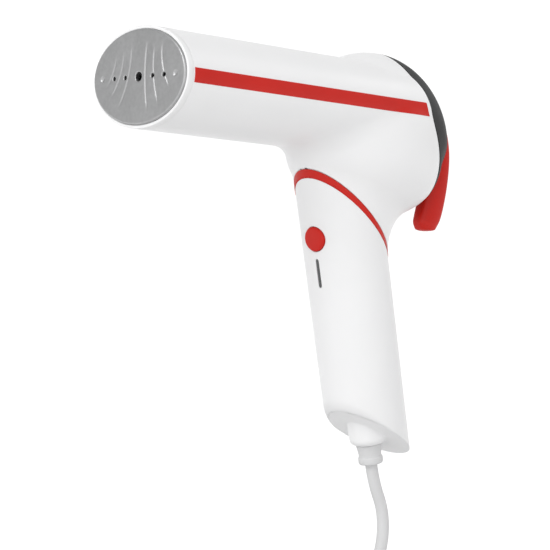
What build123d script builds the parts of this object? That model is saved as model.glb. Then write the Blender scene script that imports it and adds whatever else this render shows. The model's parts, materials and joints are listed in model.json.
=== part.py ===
from build123d import *
import math
import os

# Foldable handheld garment steamer.
# Millimetres. The origin is the middle of the grip, on the grip's axis.
# -Y is the way the steam leaves, +Z is up and X runs across the steamer.

# Barrel, an elliptical tube along Y.
BARREL_Z = 117.5
BARREL_HALF_X = 35.8
BARREL_HALF_Z = 26.0
PLATE_FACE_Y = -164.5
SHELL_FRONT_Y = -159.5
WALL = 2.4

# Steam plate and the heated parts behind it, as places along Y.
PLATE_HALF_X = 34.5
PLATE_HALF_Z = 24.2
PLATE_BACK_Y = -161.5
HEATER_FRONT_Y = -160.2
HEATER_BACK_Y = -122.0
BEZEL_BACK_Y = -152.0
PUMP_Y = -72.0

# Rear pod, an egg whose upper and lower halves differ in height.
POD_Y = 6.3
POD_Z = 97.4
POD_HALF_X = 38.5
POD_HALF_Y = 53.2
POD_UP = 52.1
POD_DOWN = 41.7

# The pod is cut by a leaning plane, and the tank's cap carries on behind it.
RIM_Y = 26.8
RIM_LEAN = math.degrees(math.atan(0.38))
RIM_GAP = 0.4

# Grip, a slightly tapered round tube.
GRIP_TILT = 12.9
GRIP_RADIUS = 23.0
GRIP_TAPER = 0.0046
FOLD_HEIGHT = 58.545
FOLD_LEAN = (90 - GRIP_TILT) / 2
FOOT_HEIGHT = -64.9
FOOT_LEAN = 38.9
FOOT_THICKNESS = 5.0
FOOT_FLOOR = 2.5
FOOT_SKIRT_TOP = 10.0
HOUSING_RADIUS = 10.7
HOUSING_TOP = -59.3
HOUSING_BOTTOM = -71.2
HOUSING_ROUND = 4.0

# Swivel ring and pivot, measured along the fold axis from the ring's upper face.
RING_THICKNESS = 2.9
RING_PROUD = 0.25
HEAD_FLOOR = 0.3
NECK_TOP = 108.0
RUNNING_GAP = 0.05
HUB_RADIUS = 11.5
HUB_BORE = 8.5
HUB_BOTTOM = -6.2
RETAINER_RADIUS = 14.0

# Button and status light on the front of the grip.
BUTTON_HEIGHT = 49.3
BUTTON_RADIUS = 6.75
BUTTON_GAP = 0.3
BUTTON_FRONT_Y = -24.0
HOLE_DEPTH = 14.0
LIGHT_HEIGHT = 30.2
LIGHT_LENGTH = 16.0
LIGHT_WIDTH = 2.0

# Red stripe along each side of the barrel.
STRIPE_Z = 116.9
STRIPE_WIDTH = 7.4
STRIPE_FRONT_Y = -158.9
STRIPE_RIM_GAP = 3.0
STRIPE_PROUD = 0.2
STRIPE_DEPTH = 0.4

# Tank, its filler hole and the lever that closes it.
TANK_Z = 104.0
TANK_HALF_X = 29.0
TANK_HALF_Z = 33.0
TANK_FRONT_Y = -9.0
TANK_SPLIT_Y = 24.0
TANK_BAND_BOTTOM = 84.0
TANK_BAND_TOP = 94.2
TANK_WALL = 1.8
FILLER_Y = 58.1
FILLER_Z = 88.0
FILLER_LEAN = 16.5
FILLER_RADIUS = 7.0
LEVER_PIN_Y = 62.6
LEVER_PIN_Z = 112.5
LEVER_PIN_RADIUS = 1.5
LEVER_HALF_WIDTH = 6.2

# Mains cord: 7 mm, wound into six turns that hang below the grip.
CORD_DIAMETER = 7.0
CORD_ROUTE = [
    (0.0, 18.42, -80.42),
    (0.0, 20.88, -91.14),
    (0.0, 30.3, -108.2),
    (0.0, 30.3, -128.7),
    (0.0, 19.9, -146.7),
    (0.0, 1.9, -157.1),
]
COIL_Y = 26.4
COIL_Z = -199.54
COIL_RADIUS = 42.0
COIL_SECTION = 10.5
TIE_TURN = 150.0
TIE_WIDTH = 12.0
TAIL_LENGTH = 36.0
PLUG_RELIEF_LENGTH = 24.0
PLUG_GRIP_LENGTH = 14.0
PLUG_FACE_RADIUS = 18.2
PLUG_FACE_THICKNESS = 10.0
PLUG_PIN_SPACING = 19.0
PLUG_PIN_RADIUS = 2.4
PLUG_PIN_LENGTH = 19.0

UP = Vector(0, -math.sin(math.radians(GRIP_TILT)), math.cos(math.radians(GRIP_TILT)))
FOLD_CENTRE = UP * FOLD_HEIGHT
FOLD_AXIS = Vector(0, math.sin(math.radians(FOLD_LEAN)), math.cos(math.radians(FOLD_LEAN)))
GRIP = Plane(origin=(0, 0, 0), x_dir=(1, 0, 0), z_dir=UP).location
FOLD = Plane(origin=FOLD_CENTRE, x_dir=(1, 0, 0), z_dir=FOLD_AXIS).location
FOLD_HALF_X = GRIP_RADIUS + 0.26
FOLD_HALF_Y = GRIP_RADIUS / math.cos(math.radians(90 - FOLD_LEAN)) + 0.1
BIG = 400.0

nodes = {}


def oval_rod(half_x, half_z, y_from, y_to, z=BARREL_Z):
    """A solid elliptical rod along Y."""
    face = Plane(origin=(0, y_from, z), x_dir=(1, 0, 0), z_dir=(0, 1, 0)) * Ellipse(half_x, half_z)
    return extrude(face, amount=y_to - y_from)


def oval_tube(outer, wall, y_from, y_to, z=BARREL_Z):
    """An elliptical tube along Y with an even wall."""
    return oval_rod(*outer, y_from, y_to, z) - oval_rod(outer[0] - wall, outer[1] - wall, y_from, y_to, z)


def rod(radius, start, end):
    """A round rod between two points."""
    start, end = Vector(*start), Vector(*end)
    return extrude(Plane(origin=start, z_dir=end - start) * Circle(radius), amount=(end - start).length)


def block(x, y, z, size, fillet_radius=0.0):
    """A box centred on a point, with its edges rounded if asked."""
    body = Box(*size)
    if fillet_radius:
        body = fillet(body.edges(), fillet_radius)
    return Pos(x, y, z) * body


def above(location, height):
    """A very large block that fills everything above a height in a tilted frame."""
    return location * Pos(0, 0, height + BIG / 2) * Box(BIG, BIG, BIG)


def below(location, height):
    """A very large block that fills everything below a height in a tilted frame."""
    return location * Pos(0, 0, height - BIG / 2) * Box(BIG, BIG, BIG)


def rim_frame(offset):
    """The leaning plane of the pod's rim, moved rearwards by an offset along its normal."""
    normal = Vector(0, math.cos(math.radians(RIM_LEAN)), math.sin(math.radians(RIM_LEAN)))
    origin = Vector(0, RIM_Y, POD_Z) + normal * offset
    return Plane(origin=origin, x_dir=(1, 0, 0), z_dir=normal).location


def pod(inset):
    """The egg of the rear pod, made smaller all round by an inset."""
    size_x, size_y = POD_HALF_X - inset, POD_HALF_Y - inset
    upper = scale(Sphere(1, arc_size1=0, arc_size2=90, align=None), by=(size_x, size_y, POD_UP - inset))
    lower = scale(Sphere(1, arc_size1=-90, arc_size2=0, align=None), by=(size_x, size_y, POD_DOWN - inset))
    return Pos(0, POD_Y, POD_Z) * (upper + lower)


def throat():
    """The neck that widens from the swivel ring into the barrel and the pod."""
    # Each section: front point, rear point and half width.
    sections = [
        ((-46.5, 84.2), (18.6, 45.5), 23.5),
        ((-57.0, 89.6), (26.0, 55.5), 24.5),
        ((-69.0, 95.0), (38.0, 67.0), 25.5),
        ((-72.0, 103.0), (42.0, 84.0), 25.5),
    ]
    start = FOLD * Pos(0, 0, HEAD_FLOOR) * Ellipse(FOLD_HALF_X, FOLD_HALF_Y)
    faces = [start]
    for front, rear, half_width in sections:
        front = Vector(0, *front)
        rear = Vector(0, *rear)
        across = rear - front
        plane = Plane(origin=(front + rear) * 0.5, x_dir=(1, 0, 0), z_dir=Vector(1, 0, 0).cross(across))
        faces.append(plane * Ellipse(half_width, across.length / 2))
    return loft(faces)


def barrel_and_pod(inset):
    """The head without its neck, made smaller all round by an inset."""
    return oval_rod(BARREL_HALF_X - inset, BARREL_HALF_Z - inset, SHELL_FRONT_Y, 40.0) + pod(inset)


def head_cavity(inset, floor):
    """The space inside the head; in the neck it carries on the grip's own line down to a floor."""
    neck = GRIP * Pos(0, 0, NECK_TOP / 2) * Cylinder(GRIP_RADIUS - inset, NECK_TOP)
    return barrel_and_pod(inset) + (neck & above(FOLD, floor))


def stripe_band(outer, inner):
    """The band of a stripe on both sides of the barrel, between two skins."""
    y_to = 40.0
    band = oval_rod(BARREL_HALF_X + outer, BARREL_HALF_Z + outer, STRIPE_FRONT_Y, y_to)
    band -= oval_rod(BARREL_HALF_X - inner, BARREL_HALF_Z - inner, STRIPE_FRONT_Y, y_to)
    band &= block(0, (STRIPE_FRONT_Y + y_to) / 2, STRIPE_Z, (120, y_to - STRIPE_FRONT_Y, STRIPE_WIDTH))
    return band - above(rim_frame(-STRIPE_RIM_GAP), 0)


def make_head_shells():
    """Left and right head shells, their screws, the front bezel and the stripes."""
    shell = barrel_and_pod(0) + throat() - head_cavity(WALL, HEAD_FLOOR + WALL)
    shell -= above(rim_frame(0), 0)
    shell -= FOLD * Pos(0, 0, 5) * Cylinder(HUB_RADIUS + 0.1, 30)
    shell -= FOLD * Pos(0, 0, HEAD_FLOOR - 15) * Cylinder(44.0, 30)
    shell -= stripe_band(5.0, STRIPE_DEPTH)
    # Screw posts stand on the right shell and meet sockets on the left one.
    posts = [(-101.0, 99.5), (-101.0, 135.5), (-42.0, 134.0), (-22.0, 84.0)]
    half = block(BIG / 2, 0, 0, (BIG, BIG, BIG))
    right, left = shell & half, shell - half
    screws = []
    for y, z in posts:
        reach = 45.0
        right += rod(3.2, (0, y, z), (reach, y, z)) & head_cavity(WALL - 0.6, HEAD_FLOOR)
        left += rod(3.2, (-reach, y, z), (0, y, z)) & head_cavity(WALL - 0.6, HEAD_FLOOR)
        hole = rod(1.5, (-9.0, y, z), (7.0, y, z)) + rod(2.6, (-60.0, y, z), (-9.0, y, z))
        right -= hole
        left -= hole
        screws.append(rod(1.4, (-9.0, y, z), (6.0, y, z)) + rod(2.4, (-11.0, y, z), (-9.0, y, z)))
    nodes["head_shell_right"] = right
    nodes["head_shell_left"] = left
    nodes["shell_screws"] = Compound([screw.solid() for screw in screws])
    bands = stripe_band(STRIPE_PROUD, STRIPE_DEPTH - 0.02)
    nodes["stripe_right"] = bands & half
    nodes["stripe_left"] = bands - half


def make_front():
    """Bezel, steam plate and everything heated behind it."""
    lip = oval_rod(BARREL_HALF_X, BARREL_HALF_Z, PLATE_FACE_Y + 0.3, SHELL_FRONT_Y)
    front_edges = lip.edges().group_by(Axis.Y)[0]
    lip = fillet(front_edges, 0.9)
    lip += oval_rod(BARREL_HALF_X - WALL - 0.1, BARREL_HALF_Z - WALL - 0.1, SHELL_FRONT_Y, BEZEL_BACK_Y)
    lip -= oval_rod(30.4, 20.6, -170.0, -150.0)
    lip -= oval_rod(34.7, 24.4, -170.0, -161.0)
    nodes["front_bezel"] = lip

    plate = oval_rod(PLATE_HALF_X, PLATE_HALF_Z, PLATE_FACE_Y, PLATE_BACK_Y)
    plate = fillet(plate.edges().group_by(Axis.Y)[0], 0.5)
    plate += oval_rod(30.0, 20.2, PLATE_BACK_Y, HEATER_FRONT_Y)
    jets = [(0.0, 2.4), (10.2, 1.1), (18.7, 1.1), (-10.2, 1.1), (-18.7, 1.1)]
    for x, radius in jets:
        plate -= rod(radius, (x, -170, BARREL_Z), (x, -155, BARREL_Z))
    for x in (-27.5, 27.5):
        plate -= rod(1.1, (x, -170, BARREL_Z), (x, PLATE_FACE_Y + 1.0, BARREL_Z))
    nodes["soleplate"] = plate
    nodes["plate_gasket"] = oval_tube((34.5, 24.3), 4.0, -161.4, -161.05)

    heater = oval_rod(27.0, 17.5, HEATER_FRONT_Y, HEATER_BACK_Y)
    heater -= oval_rod(22.0, 9.0, HEATER_FRONT_Y, -150.0)
    heater -= rod(3.0, (0, -151, BARREL_Z), (0, -121, BARREL_Z))
    element = []
    for x in (-16.0, 16.0):
        heater -= rod(3.4, (x, -146.0, BARREL_Z), (x, -121.0, BARREL_Z))
        element.append(rod(3.3, (x, -145.5, BARREL_Z), (x, -114.0, BARREL_Z)).solid())
    nodes["heater_block"] = heater
    nodes["heating_element"] = Compound(element)

    cover = oval_rod(27.0, 17.5, HEATER_BACK_Y, -118.5)
    for x, radius in ((-16.0, 3.6), (16.0, 3.6), (0.0, 3.0)):
        cover -= rod(radius, (x, -123, BARREL_Z), (x, -117, BARREL_Z))
    nodes["boiler_cover"] = cover
    nodes["insulation_sleeve"] = oval_tube((29.6, 20.1), 2.0, -151.5, -120.0)
    nodes["thermostat"] = rod(6.0, (-6.0, -118.5, 127.0), (-6.0, -112.0, 127.0))
    nodes["thermal_fuse"] = rod(2.0, (2.0, -116.4, 126.0), (14.0, -116.4, 126.0))

    bracket = oval_rod(32.9, 23.1, -109.0, -106.5)
    bracket -= block(0, -108, BARREL_Z, (26, 10, 30))
    for x in (-20.0, 20.0):
        bracket += rod(2.5, (x, -118.5, BARREL_Z - 9.0), (x, -109.0, BARREL_Z - 9.0))
    nodes["boiler_bracket"] = bracket


def make_pump():
    """Solenoid pump, its hoses and the head's wires."""
    body = block(0, PUMP_Y, BARREL_Z, (22, 40, 22), 1.5)
    body += rod(4.0, (0, -96.0, BARREL_Z), (0, -91.0, BARREL_Z))
    body += rod(4.0, (0, -53.0, BARREL_Z), (0, -46.0, BARREL_Z))
    coil = block(0, PUMP_Y, BARREL_Z, (30, 24, 30), 2.0)
    coil -= block(0, PUMP_Y, BARREL_Z, (22.2, 30, 22.2))
    nodes["pump_body"] = body
    nodes["pump_coil"] = coil
    nodes["outlet_hose"] = rod(2.9, (0, -121.5, BARREL_Z), (0, -96.0, BARREL_Z))
    nodes["inlet_hose"] = rod(3.2, (0, -46.0, BARREL_Z), (0, TANK_FRONT_Y - 9.0, BARREL_Z))
    path = FilletPolyline(
        (0, -11.14, 59.49),
        (0, -8.02, 63.4),
        (0, -24.5, 76.0),
        (0, -40.0, 99.0),
        (0, -70.0, 98.6),
        radius=[3.0, 16.0, 22.0],
    )
    section = Plane(origin=path @ 0, z_dir=path % 0) * Circle(2.0)
    nodes["head_wires"] = sweep(section, path=path)


def make_tank():
    """Socket in the pod, the tank with its grey cap, and the lever on its filler hole."""
    front = TANK_FRONT_Y
    seat = front - 1.6
    socket = oval_rod(TANK_HALF_X + 1.9, TANK_HALF_Z + 1.9, front - 4.0, 4.0, TANK_Z)
    socket -= oval_rod(TANK_HALF_X + 0.4, TANK_HALF_Z + 0.4, seat, 5.0, TANK_Z)
    socket -= above(rim_frame(-4.0), 0)
    socket += rod(5.0, (0, front - 9.0, BARREL_Z), (0, front - 3.0, BARREL_Z))
    socket -= rod(3.0, (0, front - 10.0, BARREL_Z), (0, front, BARREL_Z))
    nodes["tank_socket"] = socket
    seal = rod(6.5, (0, seat, BARREL_Z), (0, seat + 1.1, BARREL_Z))
    nodes["socket_seal"] = seal - rod(3.4, (0, seat - 1, BARREL_Z), (0, seat + 2, BARREL_Z))

    dome = pod(2.6)
    hollow = pod(2.6 + TANK_WALL)
    tank = oval_rod(TANK_HALF_X, TANK_HALF_Z, front, 70.0, TANK_Z) & dome
    inside = oval_rod(TANK_HALF_X - TANK_WALL, TANK_HALF_Z - TANK_WALL, front + TANK_WALL, 70.0, TANK_Z)
    tank -= inside & hollow
    filler = Plane(
        origin=(0, FILLER_Y, FILLER_Z),
        x_dir=(1, 0, 0),
        z_dir=(0, math.cos(math.radians(FILLER_LEAN)), -math.sin(math.radians(FILLER_LEAN))),
    ).location
    hole = filler * Cylinder(FILLER_RADIUS, 24)
    tank -= hole
    tank -= rod(2.6, (0, front - 1, BARREL_Z), (0, front + 4, BARREL_Z))
    # The tank is welded from a front cup and four rear walls that frame the filler hole.
    everywhere = (BIG, BIG, BIG)
    nodes["tank_front"] = tank & block(0, TANK_SPLIT_Y - BIG / 2, 0, everywhere)
    rear = tank & block(0, TANK_SPLIT_Y + BIG / 2, 0, everywhere)
    nodes["tank_rear_upper"] = rear & block(0, 0, TANK_BAND_TOP + BIG / 2, everywhere)
    nodes["tank_rear_lower"] = rear & block(0, 0, TANK_BAND_BOTTOM - BIG / 2, everywhere)
    band = rear - nodes["tank_rear_upper"] - nodes["tank_rear_lower"]
    nodes["tank_rear_right"] = band & block(BIG / 2, 0, 0, everywhere)
    nodes["tank_rear_left"] = band & block(-BIG / 2, 0, 0, everywhere)
    nipple = rod(2.5, (0, front - 0.3, BARREL_Z), (0, front + 9.0, BARREL_Z))
    nodes["tank_nipple"] = nipple - rod(1.3, (0, front - 1, BARREL_Z), (0, front + 10.0, BARREL_Z))

    cap = (pod(0) - pod(2.4)) & above(rim_frame(RIM_GAP), 0)
    cap -= hole
    lugs = Part()
    for x in (-LEVER_HALF_WIDTH - 1.9, LEVER_HALF_WIDTH + 1.9):
        lug = rod(2.9, (x - 1.5, LEVER_PIN_Y, LEVER_PIN_Z), (x + 1.5, LEVER_PIN_Y, LEVER_PIN_Z))
        lug += block(x, LEVER_PIN_Y - 4.0, LEVER_PIN_Z, (3.0, 8.0, 5.8))
        lugs += lug
    cap += lugs - pod(1.0)
    pin_reach = LEVER_HALF_WIDTH + 2.4
    ends = ((-pin_reach, LEVER_PIN_Y, LEVER_PIN_Z), (pin_reach, LEVER_PIN_Y, LEVER_PIN_Z))
    cap -= rod(LEVER_PIN_RADIUS + 0.02, *ends)
    nodes["rear_cap"] = cap
    nodes["flap_pin"] = rod(LEVER_PIN_RADIUS, *ends)

    # Side outline of the lever, from the pin down its back, round its foot and up its front.
    outline = Spline(
        (0, 64.0, 116.4),
        (0, 69.5, 110.0),
        (0, 72.4, 100.0),
        (0, 72.2, 88.0),
        (0, 70.6, 75.0),
        (0, 67.6, 62.0),
        (0, 63.0, 54.2),
        (0, 57.4, 52.4),
        (0, 54.9, 56.5),
        (0, 56.3, 68.0),
        (0, 58.9, 80.0),
        (0, 61.0, 90.0),
        (0, 61.4, 99.0),
        (0, 60.4, 106.0),
        (0, 58.7, 112.0),
        (0, 60.2, 115.6),
        periodic=True,
    )
    lever = extrude(make_face(outline), amount=LEVER_HALF_WIDTH, dir=(1, 0, 0), both=True)
    lever = fillet(lever.edges(), 1.2)
    lever -= rod(LEVER_PIN_RADIUS + 0.06, (-20, LEVER_PIN_Y, LEVER_PIN_Z), (20, LEVER_PIN_Y, LEVER_PIN_Z))
    nodes["filler_flap"] = lever
    plug = filler * (Pos(0, 0, -1.2) * Cylinder(4.6, 6.0) + Pos(0, 0, 1.35) * Cylinder(6.0, 0.9))
    nodes["filler_seal"] = plug - lever


def make_pivot():
    """Hollow hub that joins the head to the swivel ring, with its retainer and screws."""
    base = HEAD_FLOOR + WALL
    hub = FOLD * Pos(0, 0, (base + HUB_BOTTOM) / 2) * Cylinder(HUB_RADIUS, base - HUB_BOTTOM)
    hub += FOLD * Pos(0, 0, base + 0.75) * Cylinder(14.0, 1.5)
    hub -= FOLD * Cylinder(HUB_BORE, 40)
    retainer = FOLD * Pos(0, 0, HUB_BOTTOM - 0.9) * (Cylinder(RETAINER_RADIUS, 1.8) - Cylinder(HUB_BORE, 4))
    screws = []
    for turn in (90, 210, 330):
        place = FOLD * Rot(0, 0, turn) * Pos(10.0, 0, 0)
        hub -= place * Pos(0, 0, HUB_BOTTOM + 2.5) * Cylinder(0.9, 5.0)
        retainer -= place * Pos(0, 0, HUB_BOTTOM - 1.0) * Cylinder(0.9, 4.0)
        retainer -= FOLD * Rot(0, 0, turn + 60) * Pos(RETAINER_RADIUS, 0, HUB_BOTTOM) * Cylinder(1.2, 6.0)
        shank = place * Pos(0, 0, HUB_BOTTOM + 1.1) * Cylinder(0.85, 5.8)
        head = place * Pos(0, 0, HUB_BOTTOM - 2.3) * Cylinder(1.3, 1.0)
        screws.append((shank + head).solid())
    nodes["pivot_hub"] = hub
    nodes["pivot_retainer"] = retainer
    nodes["pivot_screws"] = Compound(screws)
    leaf = Pos(17.0, 0, -RING_THICKNESS - 3.4) * Box(4.2, 6.0, 0.6)
    leaf += Pos(15.9, 0, -RING_THICKNESS - 4.2) * Box(0.8, 2.0, 2.4)
    nodes["detent_leaf"] = FOLD * leaf


def grip_form(inset):
    """The grip's tapered round form, long enough to be cut by both end planes."""
    reach = 100.0
    spread = GRIP_TAPER * reach
    return GRIP * Cone(GRIP_RADIUS - spread - inset, GRIP_RADIUS + spread - inset, 2 * reach)


def foot_frame(offset):
    """The leaning plane of the grip's foot; positive offsets are above it, inside the grip."""
    normal = (0, math.sin(math.radians(FOOT_LEAN)), math.cos(math.radians(FOOT_LEAN)))
    plane = Plane(origin=(0, 0, FOOT_HEIGHT), x_dir=(1, 0, 0), z_dir=normal)
    return GRIP * plane.location * Pos(0, 0, offset)


def make_grip():
    """Grip sleeve, swivel ring, foot cap and the strain relief below it."""
    sleeve = grip_form(0) - grip_form(WALL)
    top_plate = grip_form(WALL - 0.2) & below(FOLD, -RING_THICKNESS) & above(FOLD, -RING_THICKNESS - 3.0)
    sleeve = sleeve - above(FOLD, -RING_THICKNESS) - below(foot_frame(0), FOOT_THICKNESS)
    sleeve += top_plate
    sleeve -= FOLD * Cylinder(HUB_RADIUS + RUNNING_GAP, 40)
    button_place = GRIP * Pos(0, BUTTON_FRONT_Y, BUTTON_HEIGHT) * Rot(90, 0, 0)
    sleeve -= button_place * Cylinder(BUTTON_RADIUS + BUTTON_GAP, HOLE_DEPTH)
    sleeve -= GRIP * Pos(0, BUTTON_FRONT_Y, LIGHT_HEIGHT) * Box(LIGHT_WIDTH, HOLE_DEPTH, LIGHT_LENGTH)
    nodes["handle_sleeve"] = sleeve

    ring = grip_form(-RING_PROUD) & below(FOLD, 0) & above(FOLD, -RING_THICKNESS)
    ring -= FOLD * Cylinder(HUB_RADIUS + RUNNING_GAP, 40)
    nodes["swivel_ring"] = ring

    foot = grip_form(0) & below(foot_frame(0), FOOT_THICKNESS) & above(foot_frame(0), 0)
    foot = fillet(foot.edges().sort_by(Axis.Z)[0], 1.6)
    skirt = (grip_form(WALL + 0.1) - grip_form(WALL + 2.0)) & below(foot_frame(0), FOOT_SKIRT_TOP)
    foot += skirt & above(foot_frame(0), FOOT_THICKNESS - 1.0)
    # The inside is hollowed above a floor, then the gland's housing is added.
    foot -= grip_form(WALL + 2.0) & above(foot_frame(0), FOOT_FLOOR)
    housing_length = HOUSING_TOP - HOUSING_BOTTOM
    housing = GRIP * Pos(0, 0, (HOUSING_TOP + HOUSING_BOTTOM) / 2) * Cylinder(HOUSING_RADIUS, housing_length)
    housing = fillet(housing.edges().sort_by(Axis.Z)[0], HOUSING_ROUND)
    foot += housing & below(foot_frame(0), 1.0)
    foot -= GRIP * Pos(0, 0, -68.0) * Cylinder(6.4, 24.0)
    nodes["handle_end_cap"] = foot

    relief = GRIP * Pos(0, 0, -67.0) * Cylinder(6.3, 16.0)
    relief += GRIP * Pos(0, 0, -76.5) * Cylinder(6.1, 5.0)
    relief += GRIP * Pos(0, 0, -80.5) * fillet(Cylinder(6.9, 4.0).edges(), 0.9)
    relief += GRIP * Pos(0, 0, -56.0) * Cone(6.3, 4.2, 6.0)
    relief -= GRIP * Pos(0, 0, -66.0) * Cylinder(2.4, 30.0)
    nodes["strain_relief"] = relief


def make_controls():
    """Button, its switch and spring, the circuit board and the light."""
    cap_length = 5.3
    middle_y = BUTTON_FRONT_Y + cap_length / 2
    button = Pos(0, middle_y, 0) * Rot(90, 0, 0) * Cylinder(BUTTON_RADIUS, cap_length)
    button = fillet(button.edges().sort_by(Axis.Y)[0], 0.8)
    flange_y = BUTTON_FRONT_Y + cap_length
    button += Pos(0, flange_y + 0.6, 0) * Rot(90, 0, 0) * Cylinder(8.0, 1.2)
    button += rod(2.5, (0, flange_y + 1.2, 0), (0, -15.45, 0))
    nodes["trigger_button"] = GRIP * Pos(0, 0, BUTTON_HEIGHT) * button

    spring_from = flange_y + 1.3
    helix = Helix(pitch=1.2, height=3.0, radius=3.6, center=(0, 0, 0), direction=(0, 1, 0))
    wire = sweep(Plane(origin=helix @ 0, z_dir=helix % 0) * Circle(0.3), path=helix)
    nodes["button_spring"] = GRIP * Pos(0, spring_from + 0.35, BUTTON_HEIGHT) * wire

    carrier = block(0, -13.4, 0, (26, 1.0, 12)) - rod(3.0, (0, -15, 0), (0, -12, 0))
    nodes["switch_carrier"] = GRIP * Pos(0, 0, BUTTON_HEIGHT - 1.0) * carrier
    switch = block(0, -10.2, 0, (12, 5.4, 9.0), 0.4) - rod(1.4, (0, -13.5, 0), (0, -9.0, 0))
    nodes["micro_switch"] = GRIP * Pos(0, 0, BUTTON_HEIGHT) * switch
    plunger = rod(1.2, (0, -15.4, 0), (0, -11.2, 0))
    nodes["switch_plunger"] = GRIP * Pos(0, 0, BUTTON_HEIGHT) * plunger

    board = block(0, -1.0, -2.0, (28, 1.6, 72))
    nodes["circuit_board"] = GRIP * board
    nodes["indicator_led"] = GRIP * block(0, -2.9, LIGHT_HEIGHT, (2.6, 2.2, 4.0))
    lens = block(0, -14.0, LIGHT_HEIGHT, (LIGHT_WIDTH - 0.04, 18.4, LIGHT_LENGTH - 0.04))
    lens += block(0, -17.0, LIGHT_HEIGHT, (6.0, 2.0, 18.0))
    nodes["indicator_lens"] = GRIP * lens

    chassis = block(0, 3.0, -5.0, (34, 2.0, 80)) - block(0, 3.0, -10.0, (14, 4.0, 40))
    for x in (-16.0, 16.0):
        chassis += block(x, 1.0, -5.0, (2.0, 6.0, 80))
    chassis -= block(0, -1.0, -2.0, (28.4, 2.0, 72.4))
    nodes["handle_chassis"] = GRIP * chassis
    terminal = block(0, 9.0, -30.0, (20, 9.6, 12), 0.5)
    nodes["terminal_block"] = GRIP * terminal
    clamp = block(0, 9.0, -44.5, (22, 6.0, 5.0), 0.5)
    screws = []
    for x in (-7.5, 7.5):
        clamp -= rod(1.25, (x, 4, -44.5), (x, 14, -44.5))
        screw = rod(1.2, (x, 4.2, -44.5), (x, 12.0, -44.5)) + rod(2.3, (x, 12.0, -44.5), (x, 13.6, -44.5))
        screws.append(screw.solid())
    clamp -= rod(2.2, (0, 9, -49), (0, 9, -40))
    nodes["cord_clamp"] = GRIP * clamp
    path = FilletPolyline((0, 0, -60.0), (0, 0, -51.5), (0, 9.0, -49.8), (0, 9.0, -36.0), radius=2.6)
    nodes["supply_wires"] = GRIP * sweep(Plane(origin=path @ 0, z_dir=path % 0) * Circle(2.0), path=path)
    nodes["clamp_screws"] = GRIP * Compound(screws)


def make_cord():
    """The cord's lead, its wound coil with a tie, the tail and the two-pin plug."""
    radius = CORD_DIAMETER / 2
    points = [Vector(*point) for point in CORD_ROUTE]
    radii = []
    for before, corner, after in zip(points, points[1:], points[2:]):
        turn = (corner - before).get_angle(after - corner)
        shorter = min((corner - before).length, (after - corner).length)
        radii.append(0.45 * shorter / math.tan(math.radians(turn / 2)))
    print("cord radii", [round(value, 1) for value in radii])
    path = FilletPolyline(*points, radius=radii)
    lead = sweep(Plane(origin=path @ 0, z_dir=path % 0) * Circle(radius), path=path)
    print("lead volume over section times length", round(lead.volume / (math.pi * radius**2 * path.length), 4))
    nodes["cord_lead"] = lead

    centre = Vector(0, COIL_Y, COIL_Z)
    ring = Plane(origin=centre, x_dir=(0, 1, 0), z_dir=(1, 0, 0))
    nodes["cord_coil"] = ring.location * Torus(COIL_RADIUS, COIL_SECTION)
    turn = math.radians(TIE_TURN)
    spot = centre + Vector(0, math.cos(turn), math.sin(turn)) * COIL_RADIUS
    along = Vector(0, -math.sin(turn), math.cos(turn))
    band = Plane(origin=spot, x_dir=(1, 0, 0), z_dir=along).location
    strap = Cylinder(COIL_SECTION + 2.0, TIE_WIDTH) - Cylinder(COIL_SECTION + 0.9, TIE_WIDTH + 2.0)
    nodes["cord_tie"] = band * strap

    tail_y = COIL_Y - COIL_RADIUS - radius
    tail_end = COIL_Z - TAIL_LENGTH
    nodes["cord_tail"] = rod(radius, (0, tail_y, COIL_Z), (0, tail_y, tail_end))
    relief = Pos(0, tail_y, tail_end - PLUG_RELIEF_LENGTH / 2) * Cone(6.5, 4.4, PLUG_RELIEF_LENGTH)
    nodes["plug_relief"] = relief
    body_top = tail_end - PLUG_RELIEF_LENGTH
    grip = Pos(0, tail_y, body_top - PLUG_GRIP_LENGTH / 2) * Cone(17.0, 9.0, PLUG_GRIP_LENGTH)
    face_z = body_top - PLUG_GRIP_LENGTH - PLUG_FACE_THICKNESS
    face = fillet(Cylinder(PLUG_FACE_RADIUS, PLUG_FACE_THICKNESS).edges(), 1.5)
    face = Pos(0, tail_y, face_z + PLUG_FACE_THICKNESS / 2) * face
    nodes["plug_body"] = grip + face
    pins = []
    for x in (-PLUG_PIN_SPACING / 2, PLUG_PIN_SPACING / 2):
        pin = rod(PLUG_PIN_RADIUS, (x, tail_y, face_z), (x, tail_y, face_z - PLUG_PIN_LENGTH))
        pins.append(pin.solid())
    nodes["plug_pins"] = Compound(pins)
    print("plug face", round(tail_y, 2), round(face_z, 2))


make_head_shells()
make_front()
make_pump()
make_tank()
make_pivot()
make_grip()
make_controls()
make_cord()

os.makedirs("parts", exist_ok=True)
for name, shape in nodes.items():
    export_step(shape, f"parts/{name}.step")
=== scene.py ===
import json
import math

import bmesh
import bpy
import numpy as np
from mathutils import Matrix, Vector


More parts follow.
